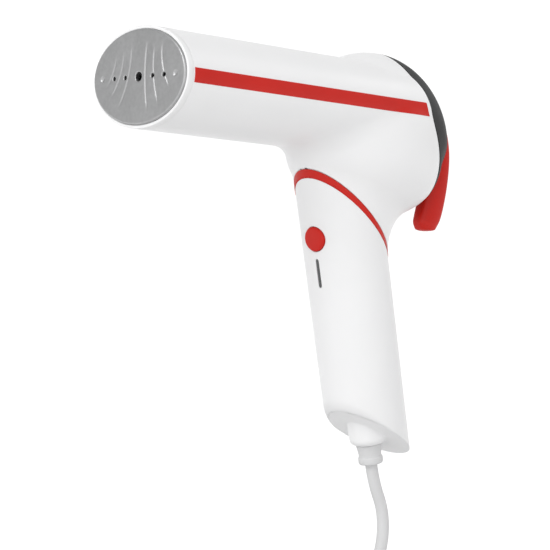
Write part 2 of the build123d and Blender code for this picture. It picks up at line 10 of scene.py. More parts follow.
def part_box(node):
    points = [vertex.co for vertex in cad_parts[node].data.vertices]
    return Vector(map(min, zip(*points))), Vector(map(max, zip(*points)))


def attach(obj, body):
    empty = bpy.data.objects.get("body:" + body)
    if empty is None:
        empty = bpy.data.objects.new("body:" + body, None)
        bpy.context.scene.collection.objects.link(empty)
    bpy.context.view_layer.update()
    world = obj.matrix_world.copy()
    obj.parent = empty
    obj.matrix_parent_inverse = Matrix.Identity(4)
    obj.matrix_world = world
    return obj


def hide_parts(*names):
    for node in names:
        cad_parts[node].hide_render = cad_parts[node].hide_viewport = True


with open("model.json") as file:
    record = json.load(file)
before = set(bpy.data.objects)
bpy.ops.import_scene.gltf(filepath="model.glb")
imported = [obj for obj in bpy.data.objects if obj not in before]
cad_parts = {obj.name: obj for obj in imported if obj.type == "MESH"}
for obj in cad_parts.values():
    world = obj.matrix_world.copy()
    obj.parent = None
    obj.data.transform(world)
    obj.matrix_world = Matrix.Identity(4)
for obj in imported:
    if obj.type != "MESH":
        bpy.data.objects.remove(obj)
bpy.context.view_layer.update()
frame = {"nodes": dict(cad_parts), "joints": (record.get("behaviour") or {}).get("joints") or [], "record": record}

# Foldable handheld garment steamer. Metres, in the frame of the CAD model:
# the origin is the middle of the grip, -Y is the way the steam leaves and +Z is up.
MM = 0.001

# ---------------------------------------------------------------- measures

fold = next(joint for joint in frame["joints"] if joint["name"] == "fold_hinge")
FOLD_POINT = np.array(fold["pos_m"])
FOLD_AXIS = np.array(fold["axis"])
grip_mount = next(mount for mount in frame["record"]["mounts"] if mount["name"] == "hand_grip")
GRIP_AXIS = np.array(grip_mount["axis"])
GRIP_FRONT = np.array((0.0, -GRIP_AXIS[2], GRIP_AXIS[1]))
ACROSS = np.array((1.0, 0.0, 0.0))

bezel_low, bezel_high = (np.array(corner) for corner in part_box("front_bezel"))
BARREL_HALF = (bezel_high - bezel_low)[[0, 2]] / 2
BARREL_Z = (bezel_low[2] + bezel_high[2]) / 2
plate_low, plate_high = (np.array(corner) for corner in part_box("soleplate"))
PLATE_HALF = (plate_high - plate_low)[[0, 2]] / 2
PLATE_Y = plate_low[1]
SHELL_FRONT_Y = PLATE_Y + 5.0 * MM
WALL = 2.4 * MM

POD_CENTRE = np.array((0.0, 6.3, 97.4)) * MM
POD_HALF = np.array((38.5, 53.2)) * MM
POD_UP = 52.1 * MM
POD_DOWN = 41.7 * MM
RIM_POINT = np.array((0.0, 26.8, 97.4)) * MM
RIM_NORMAL = np.array((0.0, 1.0, 0.38)) / math.hypot(1.0, 0.38)
CAP_GAP = 0.4 * MM
# Below its middle the cap is tucked in behind the rim, over this height and this far back.
TUCK_DEPTH = 2.3 * MM
TUCK_TOP = 103.0 * MM
TUCK_HEIGHT = 16.0 * MM
TUCK_RUN = 14.0 * MM
BARREL_FILLET = 12.0 * MM
NECK_FILLET = 17.0 * MM

GRIP_RADIUS = 23.0 * MM
GRIP_TAPER = 0.0046
RING_THICKNESS = 2.9 * MM
HEAD_FLOOR = 0.3 * MM
HUB_RADIUS = 11.6 * MM
NECK_TOP = 112.0 * MM
FOOT_SEAM = 0.5 * MM
FOOT_HEIGHT = -64.9 * MM
HOUSING_RADIUS = 10.7 * MM
HOUSING_BOTTOM = -71.2 * MM
HOUSING_ROUND = 4.0 * MM
FOOT_LEAN = math.radians(38.9)

CORD_DIAMETER = 7.0 * MM


def unit(v):
    return v / np.linalg.norm(v, axis=-1, keepdims=True)


# ---------------------------------------------------------------- camera


def make_camera():
    """A long lens on the near front side, at the height of the grip."""
    camera = bpy.data.objects.new("camera", bpy.data.cameras.new("camera"))
    camera.data.sensor_width = 36.0
    camera.data.lens = 130.9
    right = Vector((0.70810, 0.70531, 0.03358)).normalized()
    back = Vector((0.70607, -0.70780, -0.02226)).normalized()
    up = back.cross(right).normalized()
    right = up.cross(back)
    turn = Matrix((right, up, back)).transposed().to_4x4()
    camera.matrix_world = Matrix.Translation((0.7553, -0.8202, -0.0016)) @ turn
    bpy.context.scene.collection.objects.link(camera)
    bpy.context.scene.camera = camera


# ---------------------------------------------------------------- materials


class Nodes:
    """A small builder for one material's node tree."""

    def __init__(self, name):
        self.material = bpy.data.materials.new(name)
        self.material.use_nodes = True
        self.tree = self.material.node_tree
        self.shader = self.tree.nodes["Principled BSDF"]
        self.place = self.tree.nodes.new("ShaderNodeTexCoord").outputs["Object"]

    def add(self, kind, inputs=None, **settings):
        node = self.tree.nodes.new(kind)
        for key, value in settings.items():
            setattr(node, key, value)
        for key, value in (inputs or {}).items():
            self.set(node.inputs[key], value)
        return node

    def set(self, socket, value):
        if isinstance(value, bpy.types.NodeSocket):
            self.tree.links.new(value, socket)
        else:
            socket.default_value = value

    def noise(self, scale, detail=2.0, roughness=0.5, stretch=None):
        place = self.place
        if stretch:
            place = self.add("ShaderNodeMapping", {"Vector": place, "Scale": stretch}).outputs["Vector"]
        inputs = {"Vector": place, "Scale": scale, "Detail": detail, "Roughness": roughness}
        return self.add("ShaderNodeTexNoise", inputs).outputs["Fac"]

    def span(self, value, low, high, start=0.3, end=0.7):
        """A texture value spread between two numbers."""
        inputs = {"Value": value, "From Min": start, "From Max": end, "To Min": low, "To Max": high}
        return self.add("ShaderNodeMapRange", inputs).outputs["Result"]

    def tint(self, value, dark, light):
        """A colour between two, by a texture value."""
        ramp = self.add("ShaderNodeValToRGB", {"Fac": value})
        ramp.color_ramp.elements[0].position = 0.3
        ramp.color_ramp.elements[0].color = (*dark, 1.0)
        ramp.color_ramp.elements[1].position = 0.7
        ramp.color_ramp.elements[1].color = (*light, 1.0)
        return ramp.outputs["Color"]

    def bump(self, height, distance, strength=1.0):
        inputs = {"Height": height, "Distance": distance, "Strength": strength}
        self.set(self.shader.inputs["Normal"], self.add("ShaderNodeBump", inputs).outputs["Normal"])

    def finish(self, **inputs):
        for key, value in inputs.items():
            self.set(self.shader.inputs[key.replace("_", " ")], value)
        return self.material


def moulded(name, colour, roughness, grain=0.012, shade=0.05, **more):
    """Injection-moulded plastic: spark-eroded grain, and faint clouds in colour and gloss."""
    nodes = Nodes(name)
    dark = tuple(channel * (1.0 - shade) for channel in colour)
    clouds = nodes.noise(38.0, 3.0)
    fine = nodes.noise(2600.0, 2.0, 0.6)
    nodes.bump(fine, grain * MM)
    gloss = nodes.span(nodes.noise(90.0, 3.0), roughness - 0.04, roughness + 0.05)
    return nodes.finish(Base_Color=nodes.tint(clouds, dark, colour), Roughness=gloss, **more)


def cast_metal(name, colour, roughness, grain, scale=1400.0):
    """Bead-blasted or cast metal."""
    nodes = Nodes(name)
    dark = tuple(channel * 0.9 for channel in colour)
    speckle = nodes.noise(scale, 3.0, 0.65)
    nodes.bump(speckle, grain * MM)
    gloss = nodes.span(nodes.noise(60.0, 3.0), roughness - 0.05, roughness + 0.06)
    cloud = nodes.tint(nodes.noise(500.0, 3.0), dark, colour)
    return nodes.finish(Base_Color=cloud, Metallic=1.0, Roughness=gloss)


def brushed(name, colour, stretch=(60.0, 60.0, 2400.0)):
    """Drawn or turned metal with fine lines."""
    nodes = Nodes(name)
    lines = nodes.noise(1.0, 3.0, 0.6, stretch)
    nodes.bump(lines, 0.006 * MM)
    gloss = nodes.span(lines, 0.2, 0.36)
    dark = tuple(channel * 0.88 for channel in colour)
    return nodes.finish(Base_Color=nodes.tint(lines, dark, colour), Metallic=1.0, Roughness=gloss)


def rubbery(name, colour, roughness=0.55, grain=0.02):
    """Extruded or moulded rubber, matt with a soft sheen."""
    nodes = Nodes(name)
    dark = tuple(channel * 0.93 for channel in colour)
    nodes.bump(nodes.noise(1500.0, 3.0, 0.6), grain * MM)
    gloss = nodes.span(nodes.noise(120.0, 2.0), roughness - 0.05, roughness + 0.06)
    return nodes.finish(Base_Color=nodes.tint(nodes.noise(45.0, 2.0), dark, colour), Roughness=gloss)


def woven_strap(name, colour):
    """Hook-and-loop strap: a fuzzy surface of small loops."""
    nodes = Nodes(name)
    loops = nodes.add("ShaderNodeTexVoronoi", {"Vector": nodes.place, "Scale": 1500.0}).outputs["Distance"]
    nodes.bump(loops, 0.25 * MM)
    dark = tuple(channel * 0.5 for channel in colour)
    return nodes.finish(Base_Color=nodes.tint(loops, dark, colour), Roughness=0.85, Sheen_Weight=0.4)


def mica(name, colour):
    """Pressed mica or fibre board."""
    nodes = Nodes(name)
    flakes = nodes.add("ShaderNodeTexVoronoi", {"Vector": nodes.place, "Scale": 600.0}).outputs["Distance"]
    nodes.bump(flakes, 0.05 * MM)
    dark = tuple(channel * 0.7 for channel in colour)
    return nodes.finish(Base_Color=nodes.tint(flakes, dark, colour), Roughness=0.6)


def winding(name, colour):
    """Enamelled copper wire wound on a bobbin."""
    nodes = Nodes(name)
    inputs = {"Vector": nodes.place, "Scale": 700.0, "Distortion": 0.3, "Detail": 1.0}
    wires = nodes.add("ShaderNodeTexWave", inputs, bands_direction="Y").outputs["Fac"]
    nodes.bump(wires, 0.2 * MM)
    dark = tuple(channel * 0.45 for channel in colour)
    return nodes.finish(Base_Color=nodes.tint(wires, dark, colour), Metallic=0.6, Roughness=0.35)


def circuit(name, colour):
    """Solder mask over tracks and pads."""
    nodes = Nodes(name)
    inputs = {"Vector": nodes.place, "Scale": 280.0}
    pattern = {"feature": "DISTANCE_TO_EDGE", "distance": "MANHATTAN"}
    tracks = nodes.add("ShaderNodeTexVoronoi", inputs, **pattern).outputs[0]
    light = tuple(min(1.0, channel * 2.0) for channel in colour)
    nodes.bump(tracks, 0.03 * MM)
    return nodes.finish(Base_Color=nodes.tint(tracks, light, colour), Roughness=0.35, Coat_Weight=0.4)


def clear_plastic(name, colour, roughness, clarity):
    """Tinted see-through moulding with faint flow marks."""
    nodes = Nodes(name)
    flow = nodes.noise(30.0, 2.0, 0.5, (1.0, 4.0, 1.0))
    nodes.bump(nodes.noise(400.0, 2.0), 0.01 * MM)
    dark = tuple(channel * 0.9 for channel in colour)
    gloss = nodes.span(flow, roughness, roughness + 0.06)
    return nodes.finish(
        Base_Color=nodes.tint(flow, dark, colour), Roughness=gloss, Transmission_Weight=clarity, IOR=1.5
    )


def make_materials():
    """One material for each of the record's slots."""
    white = (0.9, 0.9, 0.905)
    grey = (0.036, 0.037, 0.038)
    return {
        "shell_white": moulded("shell_white", white, 0.36, shade=0.015),
        "trim_red": moulded("trim_red", (0.62, 0.016, 0.009), 0.4, shade=0.08, Specular_IOR_Level=0.25),
        "cap_grey": moulded("cap_grey", grey, 0.6, grain=0.05, shade=0.2, Specular_IOR_Level=0.2),
        "tank_clear": clear_plastic("tank_clear", (0.62, 0.68, 0.70), 0.08, 0.85),
        "plate_metal": cast_metal("plate_metal", (0.5, 0.503, 0.507), 0.42, 0.03),
        "cast_alloy": cast_metal("cast_alloy", (0.5, 0.5, 0.51), 0.5, 0.06, 700.0),
        "heater_steel": brushed("heater_steel", (0.6, 0.6, 0.6)),
        "insulation": mica("insulation", (0.5, 0.45, 0.36)),
        "inner_plastic": moulded("inner_plastic", (0.5, 0.5, 0.49), 0.45, grain=0.03, shade=0.1),
        "pump_winding": winding("pump_winding", (0.5, 0.2, 0.07)),
        "seal_rubber": rubbery("seal_rubber", (0.42, 0.09, 0.06), 0.5),
        "hose": clear_plastic("hose", (0.75, 0.75, 0.72), 0.3, 0.4),
        "tank_fitting": moulded("tank_fitting", (0.42, 0.42, 0.42), 0.45, shade=0.1),
        "board": circuit("board", (0.02, 0.14, 0.05)),
        "light": moulded("light", (0.075, 0.077, 0.08), 0.18, grain=0.004, shade=0.1, Coat_Weight=0.3),
        "wires": rubbery("wires", (0.3, 0.3, 0.32), 0.45),
        "cord_jacket": rubbery("cord_jacket", (0.72, 0.72, 0.725), 0.5),
        "cord_tie": woven_strap("cord_tie", (0.09, 0.09, 0.1)),
        "plug_plastic": moulded("plug_plastic", (0.7, 0.7, 0.7), 0.4, grain=0.03, shade=0.04),
        "pin_metal": brushed("pin_metal", (0.72, 0.7, 0.66)),
    }


# ---------------------------------------------------------------- surfaces given by a distance field


def gradient(field, points):
    """The direction in which a field grows, at each point."""
    step = 0.02 * MM
    parts = [field(points + step * axis) - field(points - step * axis) for axis in np.eye(3)]
    return np.stack(parts, -1) / (2 * step)


def settle(points, *levels, rounds=6):
    """Moves points onto all the given (field, value) surfaces at once, each by its shortest way."""
    for _ in range(rounds):
        for field, value in levels:
            slope = gradient(field, points)
            miss = (field(points) - value)[:, None]
            points = points - miss * slope / np.maximum((slope**2).sum(-1, keepdims=True), 1e-9)
    return points


def plane(point, normal):
    """Distance above a plane."""
    point, normal = np.array(point, float), unit(np.array(normal, float))
    return lambda p: (p - point) @ normal


def oval_field(radii, centre):
    """Distance and outward direction of an elliptical rod along Y."""
    radii, centre = np.array(radii), np.array(centre)

    def field(p):
        flat = (p[..., [0, 2]] - centre) / radii
        length = np.linalg.norm(flat, axis=-1) + 1e-9
        slope = flat / radii
        size = np.linalg.norm(slope, axis=-1) + 1e-9
        normal = np.zeros(p.shape)
        normal[..., [0, 2]] = slope / size[..., None]
        return length * (length - 1) / size, normal

    return field


def egg_field(p):
    """Distance and outward direction of the rear pod."""
    local = p - POD_CENTRE
    radii = np.empty(p.shape)
    radii[..., :2] = POD_HALF
    radii[..., 2] = np.where(local[..., 2] > 0, POD_UP, POD_DOWN)
    flat = local / radii
    length = np.linalg.norm(flat, axis=-1) + 1e-9
    slope = flat / radii
    size = np.linalg.norm(slope, axis=-1) + 1e-9
    return length * (length - 1) / size, slope / size[..., None]


def neck_field(p):
    """Distance and outward direction of the neck, which carries on the line of the grip."""
    along = p @ GRIP_AXIS
    out = p - along[..., None] * GRIP_AXIS
    radius = np.linalg.norm(out, axis=-1) + 1e-9
    side = radius - GRIP_RADIUS - GRIP_TAPER * along
    return np.maximum(side, along - NECK_TOP), out / radius[..., None]


def fillet(first, second, radius):
    """The union of two (distance, direction) pairs, with a fillet of that radius where they meet."""
    (a, a_out), (b, b_out) = first, second
    facing = np.clip((a_out * b_out).sum(-1), -0.3, 1.0)
    reach = 4 * radius * (np.sqrt(2 / (1 + facing)) - 1) + 1e-7
    share = np.maximum(reach - np.abs(a - b), 0) / reach
    weight = np.clip(0.5 + 0.5 * (b - a) / reach, 0, 1)[..., None]
    return np.minimum(a, b) - share**2 * reach / 4, unit(a_out * weight + b_out * (1 - weight) + 1e-12)


def head_field(p):
    """Distance from the head's outer skin."""
    barrel = oval_field(BARREL_HALF, (0.0, BARREL_Z))(p)
    body = fillet(barrel, egg_field(p), BARREL_FILLET)
    return fillet(body, neck_field(p), NECK_FILLET)[0]


def grip_field(p):
    """Distance from the grip's outer skin."""
    along = p @ GRIP_AXIS
    out = p - along[..., None] * GRIP_AXIS
    return np.linalg.norm(out, axis=-1) - GRIP_RADIUS - GRIP_TAPER * along


def surface_net(field, low, high, step):
    """A mesh of quads on a field's zero surface inside a box: points and faces."""
    axes = [np.arange(a, b + step, step) for a, b in zip(low, high)]
    grid = np.stack(np.meshgrid(*axes, indexing="ij"), -1)
    inside = field(grid) < 0
    size = inside.shape
    corners = [
        inside[i : size[0] - 1 + i, j : size[1] - 1 + j, k : size[2] - 1 + k]
        for i in (0, 1) for j in (0, 1) for k in (0, 1)
    ]
    filled = sum(corner.astype(int) for corner in corners)
    cells = (filled > 0) & (filled < 8)
    index = np.full(cells.shape, -1)
    index[cells] = np.arange(cells.sum())
    points = grid[:-1, :-1, :-1][cells] + step / 2
    faces = []
    for axis in range(3):
        order = (axis, (axis + 1) % 3, (axis + 2) % 3)
        solid, number = inside.transpose(order), index.transpose(order)
        start, end = solid[:-1, 1:-1, 1:-1], solid[1:, 1:-1, 1:-1]
        for crossing, turn in ((start & ~end, 1), (~start & end, -1)):
            i, j, k = np.nonzero(crossing)
            quad = (number[i, j, k], number[i, j + 1, k], number[i, j + 1, k + 1], number[i, j, k + 1])
            faces.append(np.stack(quad[::turn], 1))
    faces = np.concatenate(faces)
    return even_out(field, points, faces), faces


def even_out(field, points, faces, rounds=5):
    """Spreads a mesh's points evenly over the surface."""
    count = np.bincount(faces.ravel(), minlength=len(points))[:, None]
    for _ in range(rounds):
        total = np.zeros(points.shape)
        middle = points[faces].mean(1)
        for corner in range(faces.shape[1]):
            np.add.at(total, faces[:, corner], middle)
        points = settle(total / np.maximum(count, 1), (field, 0.0), rounds=2)
    return settle(points, (field, 0.0))


def trim(bm, field, knife, step):
    """Keeps the part of a skin where knife is negative, with a clean edge that follows both surfaces."""
    side = bm.verts.layers.float.get("side") or bm.verts.layers.float.new("side")
    verts = list(bm.verts)
    points = np.array([v.co for v in verts], float)
    value = knife(points)
    near = np.abs(value) < 0.36 * step
    points[near] = settle(points[near], (field, 0.0), (knife, 0.0), rounds=8)
    value[near] = 0.0
    for v, p, s in zip(verts, points, value):
        v.co = p
        v[side] = s
    fresh = []
    for e in [e for e in bm.edges if e.verts[0][side] * e.verts[1][side] < 0]:
        a, b = e.verts
        new = bmesh.utils.edge_split(e, a, a[side] / (a[side] - b[side]))[1]
        new[side] = 0.0
        fresh.append(new)
    if fresh:
        exact = settle(np.array([v.co for v in fresh], float), (field, 0.0), (knife, 0.0), rounds=8)
        for v, p in zip(fresh, exact):
            v.co = p
    bmesh.ops.connect_verts(bm, verts=[v for v in bm.verts if v[side] == 0.0])
    centres = np.array([f.calc_center_median() for f in bm.faces], float)
    away = knife(centres)
    gone = []
    for f, c in zip(bm.faces, away):
        most = max(v[side] for v in f.verts)
        least = min(v[side] for v in f.verts)
        if most > 0 or (least == 0.0 and c > 0):
            gone.append(f)
    bmesh.ops.delete(bm, geom=gone, context="FACES")
    bmesh.ops.delete(bm, geom=[v for v in bm.verts if not v.link_faces], context="VERTS")


def shell_mesh(name, field, skin, cuts, wall, step):
    """A moulded shell: an outer skin trimmed by knives, with rounded lips, a wall and an inner skin.

    Each cut is a knife and the radius of the lip along it."""
    bm = bmesh.new()
    points, faces = skin
    verts = [bm.verts.new(p) for p in points]
    for face in faces:
        bm.faces.new([verts[i] for i in face])
    for knife, lip in cuts:
        trim(bm, field, lambda p, knife=knife, lip=lip: knife(p) + lip, step)
    bm.verts.index_update()
    outer = np.array([v.co for v in bm.verts], float)
    polygons = [[v.index for v in f.verts] for f in bm.faces]
    rim_edges = []
    for e in bm.edges:
        if e.is_boundary:
            loop = e.link_loops[0]
            rim_edges.append((loop.vert.index, loop.link_loop_next.vert.index))
    bm.free()
    slope = unit(gradient(field, outer))
    inner = settle(outer - wall * slope, (field, -wall), rounds=3)
    rim = sorted({i for edge in rim_edges for i in edge})
    on_cut = [np.abs(knife(outer[rim]) + lip) < 0.02 * MM for knife, lip in cuts]
    stages = [(0.29, 0.29, 0.0), (1.0, 0.0, 0.0), (0.0, 0.0, 1.0)]
    rings, ring_normals = [], []
    for rounding, back, deep in stages:
        ring = outer[rim].copy()
        normals = np.zeros(ring.shape)
        lips = np.zeros(len(rim))
        for member, (knife, lip) in zip(on_cut, cuts):
            lips[member] = np.maximum(lips[member], lip)
            normals[member] += unit(gradient(knife, ring[member]))
        depth = np.where(deep > 0, wall, rounding * lips)
        for _ in range(24):
            ring = settle(ring, (field, -depth), rounds=1)
            for member, (knife, lip) in zip(on_cut, cuts):
                if member.any():
                    ring[member] = settle(ring[member], (knife, -back * lip), rounds=1)
        rings.append(ring)
        bent = unit(normals + 1e-12)
        ring_normals.append(unit(bent + slope[rim]) if back else bent)
    total = len(outer)
    starts = [2 * total + k * len(rim) for k in range(len(rings))]
    slot = {v: k for k, v in enumerate(rim)}
    everything = np.concatenate([outer, inner, *rings])
    normals = np.concatenate([slope, -slope, *ring_normals])
    polygons += [[i + total for i in reversed(face)] for face in polygons]
    for a, b in rim_edges:
        chain_a = [a] + [start + slot[a] for start in starts] + [a + total]
        chain_b = [b] + [start + slot[b] for start in starts] + [b + total]
        for k in range(len(chain_a) - 1):
            polygons.append([chain_b[k], chain_a[k], chain_a[k + 1], chain_b[k + 1]])
    return mesh_object(name, everything, polygons, normals)


def mesh_object(name, points, faces, normals=None):
    """A smooth-shaded object from points and faces, with its own normals if given."""
    mesh = bpy.data.meshes.new(name)
    mesh.from_pydata([tuple(p) for p in points], [], [tuple(int(i) for i in f) for f in faces])
    mesh.update()
    mesh.shade_smooth()
    if normals is not None:
        mesh.normals_split_custom_set_from_vertices([tuple(n) for n in normals])
    made = bpy.data.objects.new(name, mesh)
    bpy.context.scene.collection.objects.link(made)
    return made


# ---------------------------------------------------------------- head

FOLD_PLANE = plane(FOLD_POINT, FOLD_AXIS)
RIM_PLANE = plane(RIM_POINT, RIM_NORMAL)
LIP = 0.45 * MM


def below_floor(p):
    """How far a point of the neck is below the head's floor. It counts less and less away from the neck."""
    close, fade, lowest = 1.6 * MM, 4.0, -10.0 * MM
    away = np.maximum(neck_field(p)[0] - close, 0)
    return np.maximum(HEAD_FLOOR - FOLD_PLANE(p) - fade * away, lowest)


def make_head_shells():
    """Left and right halves of the white head."""
    step = 1.2 * MM
    low = np.array((-41.0 * MM, SHELL_FRONT_Y - 3 * step, 30.0 * MM))
    high = np.array((41.0 * MM, 48.0 * MM, 153.0 * MM))

    def above_floor(p):
        return np.maximum(head_field(p), below_floor(p) - 3 * step)

    skin = surface_net(above_floor, low, high, step)
    front = plane((0, SHELL_FRONT_Y, 0), (0, -1, 0))
    shells = []
    for name, side in (("shell_right", -ACROSS), ("shell_left", ACROSS)):
        middle = plane((0, 0, 0), side)
        cuts = [(front, 0.15 * MM), (RIM_PLANE, LIP), (below_floor, 0.1 * MM), (middle, 0.0)]
        shells.append(shell_mesh(name, head_field, skin, cuts, WALL, step))
    return shells


def make_neck_floor():
    """Plate across the bottom of the head's neck, with the hole for the pivot."""
    turns = np.linspace(0, 2 * math.pi, 144, endpoint=False)
    side = np.cross(FOLD_AXIS, ACROSS)
    outer = GRIP_RADIUS - WALL + 0.3 * MM
    outer = np.array((outer, outer / (FOLD_AXIS @ GRIP_AXIS)))
    inner = np.array((HUB_RADIUS, HUB_RADIUS))
    bevel = 0.3 * MM
    profile = [(outer, 0.0), (outer, WALL), (inner, WALL), (inner, bevel), (inner + bevel, 0.0)]
    rings = []
    for half, height in profile:
        flat = np.stack((half[0] * np.cos(turns), half[1] * np.sin(turns)), -1)
        level = FOLD_POINT + FOLD_AXIS * (HEAD_FLOOR + height)
        rings.append(level + flat[:, :1] * ACROSS + flat[:, 1:] * side)
    return loft("neck_floor", rings, closed_profile=True)


def stripe_field(p):
    """The skin of the red stripe, just proud of the head."""
    return head_field(p) - 0.2 * MM


def make_stripes():
    """The red stripe let into each side of the barrel."""
    low, high = (np.array(corner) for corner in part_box("stripe_right"))
    step = 0.8 * MM
    stripes = []
    for name, side in (("side_stripe_right", 1.0), ("side_stripe_left", -1.0)):
        box_low = np.array((30.0 * MM, low[1] - 3 * step, low[2] - 3 * step))
        box_high = np.array((40.0 * MM, high[1] + 3 * step, high[2] + 3 * step))
        points, faces = surface_net(stripe_field, box_low, box_high, step)
        points = points * (side, 1.0, 1.0)
        if side < 0:
            faces = faces[:, ::-1]
        cuts = [
            (plane((0, 0, low[2]), (0, 0, -1)), 0.12 * MM),
            (plane((0, 0, high[2]), (0, 0, 1)), 0.12 * MM),
            (plane((0, low[1], 0), (0, -1, 0)), 0.12 * MM),
            (plane(RIM_POINT - RIM_NORMAL * 3.0 * MM, RIM_NORMAL), 0.12 * MM),
        ]
        stripes.append(shell_mesh(name, stripe_field, (points, faces), cuts, 0.6 * MM, step))
    return stripes


def ellipse(half, inset, turns):
    """Points round an ellipse in the XZ plane, pushed inwards square to its edge, as (x, z) pairs."""
    x, z = half[0] * np.cos(turns), half[1] * np.sin(turns)
    out = unit(np.stack((x / half[0] ** 2, z / half[1] ** 2), -1))
    return np.stack((x, z), -1) - inset * out


def loft(name, rings, closed_profile=False, caps=(False, False)):
    """A skin through rings of points, each ring with the same number of points."""
    count = len(rings[0])
    points = np.concatenate(rings)
    faces = []
    spans = len(rings) if closed_profile else len(rings) - 1
    for i in range(spans):
        a, b = i * count, ((i + 1) % len(rings)) * count
        for k in range(count):
            n = (k + 1) % count
            faces.append((a + k, b + k, b + n, a + n))
    if caps[0]:
        faces.append(tuple(range(count)))
    if caps[1]:
        faces.append(tuple(reversed(range(len(points) - count, len(points)))))
    return mesh_object(name, points, faces)


def make_bezel():
    """White lip round the steam plate, which stands a little proud of it."""
    turns = np.linspace(0, 2 * math.pi, 288, endpoint=False)
    front, back, deep = PLATE_Y + 1.1 * MM, SHELL_FRONT_Y, PLATE_Y + 12.5 * MM
    radius, inner_radius = 0.55 * MM, 0.2 * MM
    socket, throat = PLATE_HALF + 0.1 * MM, PLATE_HALF - 4.0 * MM
    spigot = WALL + 0.1 * MM
    # Each ring: an ellipse's half axes, an inset from it and a place along Y.
    profile = [(BARREL_HALF, 0.0, back - 0.12 * MM)]
    for angle in np.radians((0, 18, 36, 54, 72, 90)):
        inset = radius * (1 - math.cos(angle))
        profile.append((BARREL_HALF, inset, front + radius * (1 - math.sin(angle))))
    for angle in np.radians((90, 45, 0)):
        inset = inner_radius * (math.cos(angle) - 1)
        profile.append((socket, inset, front + inner_radius * (1 - math.sin(angle))))
    profile += [(socket, 0.0, PLATE_Y + 3.2 * MM), (throat, 0.0, PLATE_Y + 3.6 * MM), (throat, 0.0, deep)]
    profile += [(BARREL_HALF, spigot, deep), (BARREL_HALF, spigot, back), (BARREL_HALF, 0.1 * MM, back)]
    rings = []
    for half, inset, y in profile:
        flat = ellipse(half, inset, turns)
        rings.append(np.stack((flat[:, 0], np.full(len(turns), y), flat[:, 1] + BARREL_Z), -1))
    return loft("front_lip", rings[::-1], closed_profile=True)


def plate_relief(x, z):
    """How far the steam plate's face is sunk at a point: three curved grooves on each side."""
    depth = np.zeros(x.shape)
    # Each groove, in millimetres: x at its upper end, at the jets' line and at its lower end,
    # the heights of its two ends, and its depth.
    grooves = [
        (-17.3, -21.0, -25.0, 13.3, -5.5, 0.24),
        (-11.8, -14.3, -21.5, 15.0, -11.0, 0.26),
        (-5.8, -7.6, -15.0, 17.2, -16.0, 0.30),
        (6.3, 5.1, 7.7, 19.0, -18.5, 0.42),
        (11.9, 11.6, 16.1, 16.0, -16.0, 0.42),
        (17.7, 19.9, 25.0, 17.5, -8.5, 0.42),
    ]
    for upper, middle, lower, top, bottom, deep in grooves:
        height = z / MM
        bend = ((upper - middle) / top - (lower - middle) / bottom) / (top - bottom)
        lean = (upper - middle) / top - bend * top
        across = (x / MM - middle - lean * height - bend * height**2) / 0.55
        end = np.clip(np.minimum(top - height, height - bottom) / 6.0, 0.0, 1.0)
        slope = np.where(across > 0, np.exp(-np.maximum(across, 0) * 0.33), np.exp(-(across**2) * 1.1))
        depth += deep * MM * slope * end**2 * (3 - 2 * end)
    return depth


